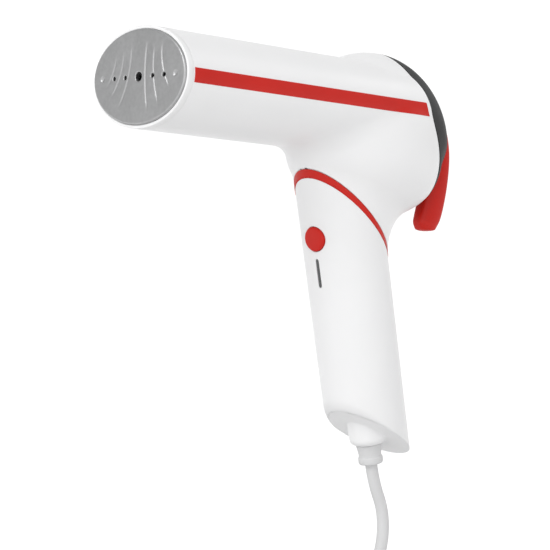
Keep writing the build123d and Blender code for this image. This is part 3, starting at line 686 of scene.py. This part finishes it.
def make_soleplate():
    """Metal steam plate with its row of jets and shallow curved grooves."""
    step = 0.32 * MM
    half_x, half_z = PLATE_HALF
    xs = np.arange(-half_x - 2 * step, half_x + 2 * step, step)
    zs = np.arange(-half_z - 2 * step, half_z + 2 * step, step)
    grid_x, grid_z = np.meshgrid(xs, zs, indexing="ij")
    number = np.arange(grid_x.size).reshape(grid_x.shape)
    points = np.stack((grid_x, np.zeros(grid_x.shape), grid_z), -1).reshape(-1, 3)
    faces = np.stack((number[:-1, :-1], number[1:, :-1], number[1:, 1:], number[:-1, 1:]), -1).reshape(-1, 4)
    flat = plane((0, 0, 0), (0, -1, 0))
    rounding = 0.9 * MM
    outline = oval_field(PLATE_HALF - rounding, (0.0, 0.0))
    bm = bmesh.new()
    verts = [bm.verts.new(p) for p in points]
    for face in faces:
        bm.faces.new([verts[i] for i in face])
    trim(bm, flat, lambda p: outline(p)[0], step)
    jets = [(0.0, 2.4), (10.2, 1.15), (18.7, 1.15), (-10.2, 1.15), (-18.7, 1.15)]
    jets = [(x * MM, radius * MM) for x, radius in jets]
    for x, radius in jets:
        centre = np.array((x, 0.0, 0.0))

        def hole(p, centre=centre, radius=radius):
            return radius - np.linalg.norm((p - centre)[:, [0, 2]], axis=1)

        trim(bm, flat, hole, 0.7 * step)
    bm.verts.index_update()
    flat_points = np.array([v.co for v in bm.verts], float)
    x, z = flat_points[:, 0], flat_points[:, 2]
    sunk = plate_relief(x, z)
    for dimple in (-27.5 * MM, 27.5 * MM):
        away = np.hypot(x - dimple, z) / (1.7 * MM)
        sunk += 0.75 * MM * np.clip(1 - away**2, 0, 1) ** 1.2
    for jet, radius in jets:
        away = (np.hypot(x - jet, z) - radius) / (0.5 * MM)
        sunk += 0.22 * MM * np.clip(1 - away, 0, 1) ** 2
    edges = [e for e in bm.edges if e.is_boundary]
    loops = [(e.link_loops[0].vert.index, e.link_loops[0].link_loop_next.vert.index) for e in edges]
    polygons = [[v.index for v in f.verts] for f in bm.faces]
    bm.free()
    face = np.stack((x, PLATE_Y + sunk, z + BARREL_Z), -1)
    rings, starts = [face], []
    rim = sorted({i for loop in loops for i in loop})
    slot = {v: k for k, v in enumerate(rim)}
    rim_flat = flat_points[rim][:, [0, 2]]
    outside = np.abs(outline(flat_points[rim])[0]) < 0.05 * MM
    out = unit(np.stack((rim_flat[:, 0] / half_x**2, rim_flat[:, 1] / half_z**2), -1))
    for angle in np.radians((30, 60, 90)):
        grow = np.where(outside, rounding * math.sin(angle), 0.0)[:, None]
        sink = np.where(outside, rounding * (1 - math.cos(angle)), 1.3 * MM * angle)
        moved = rim_flat + out * grow
        starts.append(len(face) + len(rim) * len(starts))
        rings.append(np.stack((moved[:, 0], PLATE_Y + sunk[rim] + sink, moved[:, 1] + BARREL_Z), -1))
    moved = rim_flat + out * np.where(outside, rounding, 0.0)[:, None]
    starts.append(len(face) + len(rim) * len(starts))
    back = np.full(len(rim), PLATE_Y + 3.0 * MM)
    rings.append(np.stack((moved[:, 0], back, moved[:, 1] + BARREL_Z), -1))
    for a, b in loops:
        chain_a = [a] + [start + slot[a] for start in starts]
        chain_b = [b] + [start + slot[b] for start in starts]
        for k in range(len(chain_a) - 1):
            polygons.append([chain_b[k], chain_a[k], chain_a[k + 1], chain_b[k + 1]])
    # The back of the plate closes the solid; it is the face again, flat and turned round.
    back_start = sum(len(ring) for ring in rings)
    rings.append(np.stack((x, np.full(len(x), PLATE_Y + 3.0 * MM), z + BARREL_Z), -1))
    join = {i: starts[-1] + slot[i] for i in rim}
    front_faces = polygons[: len(polygons) - len(loops) * (len(starts))]
    polygons += [[join.get(i, back_start + i) for i in reversed(f)] for f in front_faces]
    return mesh_object("steam_plate", np.concatenate(rings), polygons)


# ---------------------------------------------------------------- tank


def cap_field(p):
    """The skin of the grey cap: the pod's own form, tucked in under the lever."""
    low = np.clip((TUCK_TOP - p[..., 2]) / TUCK_HEIGHT, 0, 1)
    behind = np.clip(RIM_PLANE(p) / TUCK_RUN, 0, 1)
    tuck = low**2 * (3 - 2 * low) * behind**2 * (3 - 2 * behind)
    return egg_field(p)[0] + TUCK_DEPTH * tuck


def make_rear_cap():
    """Grey cap that closes the back of the pod and goes with the tank."""
    step = 1.2 * MM
    low = np.array((-41.0, -6.0, 52.0)) * MM
    high = np.array((41.0, 62.0, 153.0)) * MM
    skin = surface_net(cap_field, low, high, step)
    back = plane(RIM_POINT + RIM_NORMAL * CAP_GAP, -RIM_NORMAL)
    filler = np.array((0.0, 58.1, 88.0)) * MM
    lean = math.radians(16.5)
    axis = np.array((0.0, math.cos(lean), -math.sin(lean)))

    def outside_hole(p):
        across = p - filler
        across = across - (across @ axis)[..., None] * axis
        return 7.0 * MM - np.linalg.norm(across, axis=-1)

    # The rim's cut leaves only the rear of the egg, so the hole's knife meets it once.
    cuts = [(back, LIP), (outside_hole, 0.3 * MM)]
    return shell_mesh("tank_cap", cap_field, skin, cuts, WALL, step)


def make_ears():
    """Two ears on the cap that hold the lever's pin."""
    pin = np.array((62.6, 112.5))
    radius, root, thick, edge = 2.0, 7.6, 1.7, 0.3
    outline = [(-root, -radius), (-root, radius)]
    outline += [(radius * math.sin(a), radius * math.cos(a)) for a in np.linspace(0, math.pi, 17)]
    outline = np.array(outline)
    centre = np.array((-root / 2, 0.0))
    ears = []
    for name, start in (("hinge_ear_right", 6.5), ("hinge_ear_left", -8.2)):
        rings = []
        rising = [(edge, 0.0), (0.12, 0.12), (0.0, edge)]
        falling = [(inset, thick - out) for inset, out in reversed(rising)]
        for inset, out in rising + falling:
            shape = pin + centre + (outline - centre) * (1 - inset / radius)
            x = np.full(len(shape), start + out)
            rings.append(np.stack((x, shape[:, 0], shape[:, 1]), -1) * MM)
        ears.append(loft(name, rings[::-1], caps=(True, True)))
    return ears


def make_lever():
    """Red lever over the filler hole: a keel-shaped bar, hinged at its top, that flares to a finger tip."""
    # Each section down the lever: front point, rear point, half width, and the share of the depth
    # from the front at which the side is creased.
    sections = [
        ((59.6, 113.6), (63.4, 116.3), 5.0, 0.5),
        ((58.9, 111.0), (67.4, 113.2), 6.0, 0.5),
        ((60.4, 105.5), (70.3, 107.5), 6.2, 0.5),
        ((61.3, 98.0), (72.3, 98.6), 6.2, 0.5),
        ((60.9, 89.5), (72.5, 89.5), 6.2, 0.48),
        ((57.6, 80.0), (71.7, 80.6), 6.2, 0.46),
        ((54.2, 71.0), (70.2, 72.0), 6.2, 0.46),
        ((51.6, 62.5), (67.9, 63.5), 6.2, 0.46),
        ((50.6, 57.2), (65.7, 58.2), 6.1, 0.46),
        ((52.4, 53.8), (62.6, 53.6), 5.6, 0.46),
    ]
    around = 48
    turns = np.linspace(0, 2 * math.pi, around, endpoint=False)
    # The section is a rounded rectangle whose front corners are cut back into a keel.
    rings = []
    fine = []
    keys = np.array([(*f, *r, w, c) for f, r, w, c in sections])
    count = 60
    place = np.linspace(0, len(keys) - 1, count)
    for t in place:
        i = min(int(t), len(keys) - 2)
        f = t - i
        a, b = keys[max(i - 1, 0)], keys[i]
        c, d = keys[i + 1], keys[min(i + 2, len(keys) - 1)]
        square = (2 * a - 5 * b + 4 * c - d) * f**2
        cube = (3 * b - a - 3 * c + d) * f**3
        fine.append(0.5 * (2 * b + (c - a) * f + square + cube))
    for row in fine:
        front, rear, half, crease = np.array(row[:2]) * MM, np.array(row[2:4]) * MM, row[4] * MM, row[5]
        power = 2.0 / 5.0
        x = half * np.sign(np.cos(turns)) * np.abs(np.cos(turns)) ** power
        deep = 0.5 + 0.5 * np.sign(np.sin(turns)) * np.abs(np.sin(turns)) ** power
        keel = np.clip((crease - deep) / crease, 0, 1)
        x = x * (1 - 0.42 * keel**1.3)
        yz = front + (rear - front) * deep[:, None]
        rings.append(np.stack((x, yz[:, 0], yz[:, 1]), -1))
    top = shrink_cap(rings[0], np.array((0.0, 0.6, 1.4)) * MM)
    bottom = shrink_cap(rings[-1], np.array((0.0, 0.0, -1.4)) * MM)
    return loft("filler_lever", top[::-1] + rings + bottom, caps=(True, True))


def shrink_cap(ring, rise):
    """Rings that round off the open end of a loft."""
    centre = ring.mean(0)
    return [
        centre + (ring - centre) * math.cos(angle) + rise * math.sin(angle)
        for angle in np.radians((20, 40, 58, 72, 82))
    ]


# ---------------------------------------------------------------- grip


def make_ring():
    """Red swivel ring between the grip and the head."""
    step = 1.0 * MM
    proud = 0.3 * MM
    low = np.array((-26.0, -50.0, 22.0)) * MM
    high = np.array((26.0, 26.0, 90.0)) * MM

    def field(p):
        return grip_field(p) - proud

    def slab(p):
        from_middle = np.abs(FOLD_PLANE(p) + RING_THICKNESS / 2)
        return np.maximum(from_middle - RING_THICKNESS - 3 * step, field(p))

    skin = surface_net(slab, low, high, step)
    top = plane(FOLD_POINT, FOLD_AXIS)
    bottom = plane(FOLD_POINT - FOLD_AXIS * RING_THICKNESS, -FOLD_AXIS)
    return shell_mesh("swivel_band", field, skin, [(top, 0.35 * MM), (bottom, 0.35 * MM)], 11.0 * MM, step)


FOOT_NORMAL = math.sin(FOOT_LEAN) * -GRIP_FRONT + math.cos(FOOT_LEAN) * GRIP_AXIS
FOOT_POINT = FOOT_HEIGHT * GRIP_AXIS
FOOT_PLANE = plane(FOOT_POINT, FOOT_NORMAL)
BUTTON_POINT = GRIP_AXIS * 49.3 * MM
LIGHT_POINT = GRIP_AXIS * 30.2 * MM


def round_hole(centre, axis, radius):
    """A knife that cuts a round hole about an axis, on the side that the axis points to."""

    def knife(p):
        across = p - centre
        along = across @ axis
        away = np.linalg.norm(across - along[..., None] * axis, axis=-1)
        return np.where(along > 0, radius - away, -10 * MM)

    return knife


def slot_hole(centre, axis, along, length, width):
    """A knife that cuts a slot with round ends, on the side that the axis points to."""

    def knife(p):
        across = p - centre
        front = across @ axis
        run = across @ along
        run = run - np.clip(run, -(length - width) / 2, (length - width) / 2)
        side = across[..., 0]
        return np.where(front > 0, width / 2 - np.hypot(run, side), -10 * MM)

    return knife


def handle_field(p):
    """Distance from the grip closed by its slanted foot: crisp at the sides, round at the front."""
    along = p @ GRIP_AXIS
    out = unit(p - along[..., None] * GRIP_AXIS + 1e-12)
    ahead = out @ GRIP_FRONT
    radius = (0.3 + 11.0 * np.clip((ahead - 0.1) / 0.9, 0, 1) ** 1.5) * MM
    side, foot = grip_field(p), -FOOT_PLANE(p)
    reach = 4 * radius * (np.sqrt(2 / (1 + math.sin(FOOT_LEAN) * ahead)) - 1) + 1e-7
    share = np.maximum(reach - np.abs(side - foot), 0) / reach
    return np.maximum(side, foot) + share**2 * reach / 4


def make_sleeve():
    """White grip tube with the button's hole and the light's slot."""
    step = 1.0 * MM
    low = np.array((-26.0, -50.0, -75.0)) * MM
    high = np.array((26.0, 46.0, 90.0)) * MM
    top = plane(FOLD_POINT - FOLD_AXIS * RING_THICKNESS, FOLD_AXIS)
    skin = surface_net(lambda p: np.maximum(handle_field(p), top(p) - 4 * step), low, high, step)
    cuts = [
        (top, 0.25 * MM),
        (plane(FOOT_POINT + FOOT_NORMAL * FOOT_SEAM, -FOOT_NORMAL), 0.04 * MM),
        (round_hole(BUTTON_POINT, GRIP_FRONT, 7.05 * MM), 0.3 * MM),
        (slot_hole(LIGHT_POINT, GRIP_FRONT, GRIP_AXIS, 16.3 * MM, 2.3 * MM), 0.12 * MM),
    ]
    return shell_mesh("grip_sleeve", handle_field, skin, cuts, WALL, step)


def grip_frame(points):
    """Points given as (across, front, up) of the grip, in the row frame."""
    points = np.asarray(points, float)
    return points[..., :1] * ACROSS + points[..., 1:2] * GRIP_FRONT + points[..., 2:3] * GRIP_AXIS


def turned(name, profile, around=96):
    """A body turned about the grip's axis from (radius, height) pairs."""
    turns = np.linspace(0, 2 * math.pi, around, endpoint=False)
    rings = []
    for radius, height in profile:
        ring = np.stack((radius * np.cos(turns), radius * np.sin(turns), np.full(around, height)), -1)
        rings.append(grip_frame(ring))
    return loft(name, rings[::-1])


def housing_field(p):
    """Distance and outward direction of the boss that holds the cord's gland."""
    along = p @ GRIP_AXIS
    out = p - along[..., None] * GRIP_AXIS
    size = np.linalg.norm(out, axis=-1)
    aside = size - HOUSING_RADIUS + HOUSING_ROUND
    beneath = HOUSING_BOTTOM + HOUSING_ROUND - along
    corner = np.hypot(np.maximum(aside, 0), np.maximum(beneath, 0))
    distance = corner + np.minimum(np.maximum(aside, beneath), 0) - HOUSING_ROUND
    direction = (np.maximum(aside, 1e-6) / (size + 1e-9))[..., None] * out
    return distance, unit(direction - np.maximum(beneath, 0)[..., None] * GRIP_AXIS)


def foot_field(p):
    """Distance from the skin of the foot, boss included."""
    under = np.broadcast_to(-FOOT_NORMAL, p.shape)
    return fillet((handle_field(p), under), housing_field(p), 1.6 * MM)[0]


def make_foot():
    """Slanted underside of the grip and the boss that the cord comes out of."""
    step = 0.8 * MM
    low = np.array((-26.0, -36.0, -80.0)) * MM
    high = np.array((26.0, 46.0, -30.0)) * MM
    seam = plane(FOOT_POINT + FOOT_NORMAL * (FOOT_SEAM - 0.05 * MM), FOOT_NORMAL)
    skin = surface_net(lambda p: np.maximum(foot_field(p), seam(p) - 4 * step), low, high, step)
    cuts = [(seam, 0.02 * MM), (round_hole(FOOT_POINT, -GRIP_AXIS, 6.35 * MM), 0.4 * MM)]
    return shell_mesh("grip_foot", foot_field, skin, cuts, 0.3 * MM, step)


def make_relief():
    """Strain relief: a tapered neck with a collar, moulded round the cord."""
    profile = [(3.6, -60.0), (5.0, -60.0), (6.2, -63.0), (6.25, -71.1), (7.4, -71.3), (7.3, -72.0)]
    profile += [(7.0, -73.4), (6.7, -75.2), (6.45, -77.0), (6.35, -78.2), (6.4, -78.4), (6.75, -78.5)]
    profile += [(6.95, -78.9), (7.0, -79.6), (7.0, -81.2), (6.85, -82.0), (6.5, -82.4), (5.9, -82.55)]
    profile += [(4.2, -82.6), (3.9, -82.4), (3.75, -81.6), (3.6, -80.0)]
    return turned("cord_gland", [(r * MM, h * MM) for r, h in profile])


def make_button():
    """Red push button, gently domed."""
    around, radius = 96, 6.75 * MM
    front = 24.0 * MM
    # A stem for the switch, the spring's recess, the flange and the cap.
    profile = [(2.4, -15.45), (2.4, -19.3), (4.4, -19.3), (4.4, -17.55)]
    profile += [(8.0, -17.55), (8.0, -18.7), (6.75, -18.7), (6.75, -23.0)]
    profile = [(r * MM, h * MM) for r, h in profile]
    edge = 0.8 * MM
    for angle in np.radians((20, 40, 60, 80)):
        profile.append((radius - edge * (1 - math.cos(angle)), -front - edge * (math.sin(angle) - 1)))
    for share in (0.8, 0.6, 0.4, 0.2, 0.06):
        profile.append((radius * share, -front - 0.35 * MM * (1 - share**2)))
    turns = np.linspace(0, 2 * math.pi, around, endpoint=False)
    rings = []
    for size, depth in profile:
        ring = np.stack((size * np.cos(turns), np.full(around, -depth), size * np.sin(turns)), -1)
        rings.append(grip_frame(ring) + BUTTON_POINT)
    return loft("push_button", rings, caps=(True, True))


def make_lens():
    """Smoked lens of the status light, flush in its slot."""
    length, width = 15.9 * MM, 1.95 * MM
    around = 64
    turns = np.linspace(0, 2 * math.pi, around, endpoint=False)
    rings = []
    for inset, front in ((0.0, 21.4), (0.0, 22.75), (0.1, 22.95), (0.3, 23.05), (0.6, 23.08)):
        half = width / 2 - inset * MM
        run = (length - width) / 2
        x = half * np.cos(turns)
        z = half * np.sin(turns) + run * np.sign(np.sin(turns))
        ring = np.stack((x, np.full(around, front * MM), z), -1)
        rings.append(grip_frame(ring) + LIGHT_POINT)
    return loft("light_lens", rings, caps=(True, True))


# ---------------------------------------------------------------- cord and plug

# The hanging stretch, from the gland down to the coil's first turn.
CORD_ROUTE = [
    (0.0, 0.01842, -0.08042),
    (0.0, 0.02088, -0.09114),
    (0.0, 0.0303, -0.1082),
    (0.0, 0.0303, -0.1287),
    (0.0, 0.0199, -0.1467),
    (0.0, 0.0019, -0.1571),
]
COIL_CENTRE = np.array((0.0, 26.4, -199.54)) * MM
COIL_RADIUS = 42.0 * MM
COIL_TURNS = 6.17
COIL_START = math.radians(120)
COIL_STEPS = 18
TIE_TURN = math.radians(150)
PLUG_X, PLUG_Y = 0.0, -19.1 * MM
PLUG_TOP = -235.54 * MM
PLUG_FACE = -283.54 * MM
PIN_SPACING = 19.0 * MM


def coil_point(turn):
    """A point of the wound cord: six turns round a seventh, each a diameter from the next."""
    slot = math.radians(60) * min(turn, 5.0)
    away = CORD_DIAMETER
    if turn > 5.0:
        away *= max(0.0, 1 - (turn - 5.0) / 0.3)
    if turn > 5.9:
        slot = math.radians(300)
        away = CORD_DIAMETER * min(1.0, (turn - 5.9) / 0.2)
    angle = COIL_START + 2 * math.pi * turn
    radius = (COIL_RADIUS + away * math.cos(slot)) * (1 + 0.17 / COIL_STEPS)
    spoke = np.array((0.0, math.cos(angle), math.sin(angle)))
    return COIL_CENTRE + radius * spoke + away * math.sin(slot) * ACROSS


def make_cord():
    """Mains lead: it hangs from the gland, and what isn't seen is wound into a tied coil."""
    points = list(CORD_ROUTE)
    for i in range(1, round(COIL_TURNS * COIL_STEPS) + 1):
        points.append(tuple(coil_point(i / COIL_STEPS)))
    side = coil_point(COIL_TURNS)[0]
    points.append((side, PLUG_Y, COIL_CENTRE[2] - 9 * MM))
    points.append((side * 0.6, PLUG_Y, COIL_CENTRE[2] - 19 * MM))
    points.append((PLUG_X, PLUG_Y, PLUG_TOP + 6 * MM))
    points.append((PLUG_X, PLUG_Y, PLUG_TOP - 6 * MM))
    curve = bpy.data.curves.new("power_cord", "CURVE")
    curve.dimensions = "3D"
    curve.bevel_depth = 1.0
    curve.bevel_resolution = 8
    curve.use_fill_caps = True
    spline = curve.splines.new("NURBS")
    spline.points.add(len(points) - 1)
    for point, place in zip(spline.points, points):
        point.co = (*place, 1.0)
        point.radius = CORD_DIAMETER / 2
    spline.order_u = 3
    spline.use_endpoint_u = True
    spline.resolution_u = 8
    made = bpy.data.objects.new("power_cord", curve)
    bpy.context.scene.collection.objects.link(made)
    return made


def make_tie():
    """Strap wound once round the coil, its end lapped over its start."""
    spoke = np.array((0.0, math.cos(TIE_TURN), math.sin(TIE_TURN)))
    run = np.array((0.0, -math.sin(TIE_TURN), math.cos(TIE_TURN)))
    centre = COIL_CENTRE + COIL_RADIUS * spoke
    half_width, thick, edge = 6.0 * MM, 0.8 * MM, 0.25 * MM
    outline = [(-1, 0), (-1, 1), (1, 1), (1, 0)]
    rings = []
    laps = 1.16
    for t in np.linspace(0, laps, 110):
        angle = 2 * math.pi * t
        over = min(1.0, max(0.0, (t - laps + 0.3) / 0.12))
        radius = 10.65 * MM + 0.12 * MM * math.cos(6 * angle) + 0.85 * MM * over * over * (3 - 2 * over)
        end = min(1.0, min(t, laps - t) / 0.012)
        half = half_width * (0.86 + 0.14 * math.sqrt(max(0.0, end)))
        ring = []
        for across, out in outline:
            for da, do in ((0, 1), (1, 0)) if across * (0.5 - out) > 0 else ((1, 0), (0, 1)):
                a = across * (half - edge * da)
                o = radius + out * thick + (edge * do if out == 0 else -edge * do)
                place = centre + (spoke * math.cos(angle) + ACROSS * math.sin(angle)) * o + run * a
                ring.append(place)
        rings.append(np.array(ring))
    return loft("coil_strap", rings, caps=(True, True))


def upright(name, profile, shape=None, around=120):
    """A body turned about the plug's upright axis, from (radius, height) pairs in millimetres."""
    turns = np.linspace(0, 2 * math.pi, around, endpoint=False)
    rings = []
    for radius, height in profile:
        size = np.full(around, radius * MM)
        if shape:
            size = size + shape(turns, height) * MM
        x, y = PLUG_X + size * np.cos(turns), PLUG_Y + size * np.sin(turns)
        rings.append(np.stack((x, y, np.full(around, height * MM)), -1))
    return loft(name, rings, caps=(True, True))


def make_plug_relief():
    """Ribbed sleeve that keeps the cord from kinking where it enters the plug."""
    top, length = PLUG_TOP / MM, 24.0
    profile = [(3.6, top - 0.3), (4.1, top), (4.4, top - 0.3)]
    ribs = 6
    for i in range(ribs):
        start = top - 1.6 - i * 3.4
        big = 4.45 + 2.0 * (i + 0.5) / ribs
        profile += [(big, start), (big - 0.15, start - 0.2), (big - 1.0, start - 0.35)]
        profile += [(big - 1.0, start - 1.0), (big - 0.1, start - 1.15), (big + 0.08, start - 1.4)]
    profile += [(6.5, top - length + 1.5), (6.5, top - length)]
    return upright("plug_sleeve", profile)


def make_plug():
    """Moulded two-pin plug: a fluted grip that flares into a round face with a notch at each side."""

    def shape(turns, height):
        face = np.clip((-273.0 - height) / 1.0, 0, 1)
        upper = np.clip((height + 272.0) / 3.0, 0, 1) * np.clip((-260.5 - height) / 2.0, 0, 1)
        notch = np.exp(-(((np.abs(np.sin(turns)) - 1.0) / 0.035) ** 2))
        return -1.5 * notch * face + 0.35 * upper * np.cos(18 * turns)

    profile = [(6.6, -259.6), (8.2, -259.6), (8.9, -260.1), (9.4, -261.2)]
    for t in np.linspace(0.12, 0.9, 9):
        profile.append((9.3 + 7.4 * t * t * (1.5 - 0.5 * t), -259.54 - 14.0 * t))
    profile += [(17.0, -273.0), (17.6, -273.5), (18.0, -274.1), (18.2, -275.0), (18.2, -281.4)]
    profile += [(18.1, -282.3), (17.7, -283.0), (17.1, -283.4), (16.4, -283.54), (15.0, -283.54)]
    profile += [(14.8, -283.4), (14.4, -283.4), (14.2, -283.54)]
    return upright("plug_housing", profile, shape)


def make_pins():
    """Two round pins with domed tips."""
    around = 40
    turns = np.linspace(0, 2 * math.pi, around, endpoint=False)
    bottom, radius, edge = -302.5, 2.4, 1.3
    profile = [(radius, PLUG_FACE / MM + 1.0), (radius, bottom + edge)]
    for angle in np.radians((20, 40, 60, 78)):
        profile.append((radius - edge * (1 - math.cos(angle)), bottom + edge * (1 - math.sin(angle))))
    pins = []
    for name, x in (("plug_pin_right", PIN_SPACING / 2), ("plug_pin_left", -PIN_SPACING / 2)):
        rings = []
        for size, height in profile:
            flat = (x + size * MM * np.cos(turns), PLUG_Y + size * MM * np.sin(turns))
            rings.append(np.stack((*flat, np.full(around, height * MM)), -1))
        pins.append(loft(name, rings, caps=(True, True)))
    return pins


# ---------------------------------------------------------------- studio


def make_studio():
    """A pale floor that brightens into the white surroundings, and soft lights."""
    world = bpy.data.worlds.new("studio")
    world.use_nodes = True
    bpy.context.scene.world = world
    tree = world.node_tree
    sky = tree.nodes["Background"]
    place = tree.nodes.new("ShaderNodeTexCoord")
    facing = tree.nodes.new("ShaderNodeVectorMath")
    facing.operation = "DOT_PRODUCT"
    facing.inputs[1].default_value = (0.706, -0.708, 0.0)
    square = tree.nodes.new("ShaderNodeMath")
    square.operation = "MULTIPLY"
    ramp = tree.nodes.new("ShaderNodeMapRange")
    tree.links.new(place.outputs["Generated"], facing.inputs[0])
    tree.links.new(facing.outputs["Value"], square.inputs[0])
    tree.links.new(facing.outputs["Value"], square.inputs[1])
    tree.links.new(square.outputs["Value"], ramp.inputs["Value"])
    for key, value in {"From Min": 0.0, "From Max": 0.95, "To Min": 0.53, "To Max": 1.1}.items():
        ramp.inputs[key].default_value = value
    tree.links.new(ramp.outputs["Result"], sky.inputs["Strength"])
    sky.inputs["Color"].default_value = (1.0, 1.0, 1.0, 1.0)

    nodes = Nodes("studio_floor")
    length = nodes.add("ShaderNodeVectorMath", {0: nodes.place}, operation="LENGTH").outputs["Value"]
    glow = nodes.span(length, 0.0, 0.6, 0.7, 1.5)
    pale = (0.8, 0.8, 0.8, 1.0)
    nodes.finish(Base_Color=pale, Roughness=0.8, Emission_Color=(1, 1, 1, 1), Emission_Strength=glow)
    bm = bmesh.new()
    bmesh.ops.create_circle(bm, cap_ends=True, segments=96, radius=12.0)
    mesh = bpy.data.meshes.new("studio_floor")
    bm.to_mesh(mesh)
    bm.free()
    floor = bpy.data.objects.new("studio_floor", mesh)
    floor.location = (0.0, 0.0, -0.304)
    mesh.materials.append(nodes.material)
    bpy.context.scene.collection.objects.link(floor)

    lights = [
        ("key", (0.15, -1.9, 1.2), 0.9, 12.5),
        ("fill", (1.5, -1.2, 0.6), 1.4, 2.0),
        ("rim", (0.6, 1.8, 1.3), 1.0, 4.0),
    ]
    for name, spot, size, power in lights:
        lamp = bpy.data.lights.new(name, "AREA")
        lamp.size = size
        lamp.energy = power
        holder = bpy.data.objects.new(name, lamp)
        holder.location = spot
        aim = Vector((0.0, -0.04, 0.06)) - Vector(spot)
        holder.rotation_euler = aim.to_track_quat("-Z", "Y").to_euler()
        bpy.context.scene.collection.objects.link(holder)
    bpy.context.scene.view_settings.view_transform = "Standard"


# ---------------------------------------------------------------- making and placing


make_camera()
materials = make_materials()
cord = make_cord()
coil_strap = make_tie()
plug_sleeve = make_plug_relief()
plug_housing = make_plug()
plug_pins = make_pins()

shell_right, shell_left = make_head_shells()
stripe_right, stripe_left = make_stripes()
front_lip = make_bezel()
steam_plate = make_soleplate()
tank_cap = make_rear_cap()
ear_right, ear_left = make_ears()
neck_floor = make_neck_floor()
filler_lever = make_lever()
swivel_band = make_ring()
grip_sleeve = make_sleeve()
grip_foot = make_foot()
cord_gland = make_relief()
push_button = make_button()
light_lens = make_lens()
make_studio()

# Each piece, its body, its material slot and the CAD nodes that it stands for.
placing = [
    (cord, "handle", "cord_jacket", ["cord_lead", "cord_coil", "cord_tail"]),
    (coil_strap, "handle", "cord_tie", ["cord_tie"]),
    (plug_sleeve, "handle", "cord_jacket", ["plug_relief"]),
    (plug_housing, "handle", "plug_plastic", ["plug_body"]),
    (plug_pins[0], "handle", "pin_metal", ["plug_pins"]),
    (plug_pins[1], "handle", "pin_metal", ["plug_pins"]),
    (cord_gland, "handle", "cord_jacket", ["strain_relief"]),
    (grip_sleeve, "handle", "shell_white", ["handle_sleeve"]),
    (grip_foot, "handle", "shell_white", ["handle_end_cap"]),
    (light_lens, "handle", "light", ["indicator_lens"]),
    (swivel_band, "handle", "trim_red", ["swivel_ring"]),
    (push_button, "button", "trim_red", ["trigger_button"]),
    (shell_right, "head", "shell_white", ["head_shell_right"]),
    (shell_left, "head", "shell_white", ["head_shell_left"]),
    (stripe_right, "head", "trim_red", ["stripe_right"]),
    (stripe_left, "head", "trim_red", ["stripe_left"]),
    (front_lip, "head", "shell_white", ["front_bezel"]),
    (steam_plate, "head", "plate_metal", ["soleplate"]),
    (neck_floor, "head", "shell_white", []),
    (tank_cap, "tank", "cap_grey", ["rear_cap"]),
    (ear_right, "tank", "cap_grey", []),
    (ear_left, "tank", "cap_grey", []),
    (filler_lever, "flap", "trim_red", ["filler_flap"]),
]
for piece, body, slot, stands_for in placing:
    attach(piece, body)
    if stands_for:
        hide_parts(*stands_for)
    piece.data.materials.clear()
    piece.data.materials.append(materials[slot])

slots = {part["node"]: part["material_slot"] for part in frame["record"]["subparts"]}
for name, node in frame["nodes"].items():
    node.data.materials.clear()
    node.data.materials.append(materials[slots[name]])
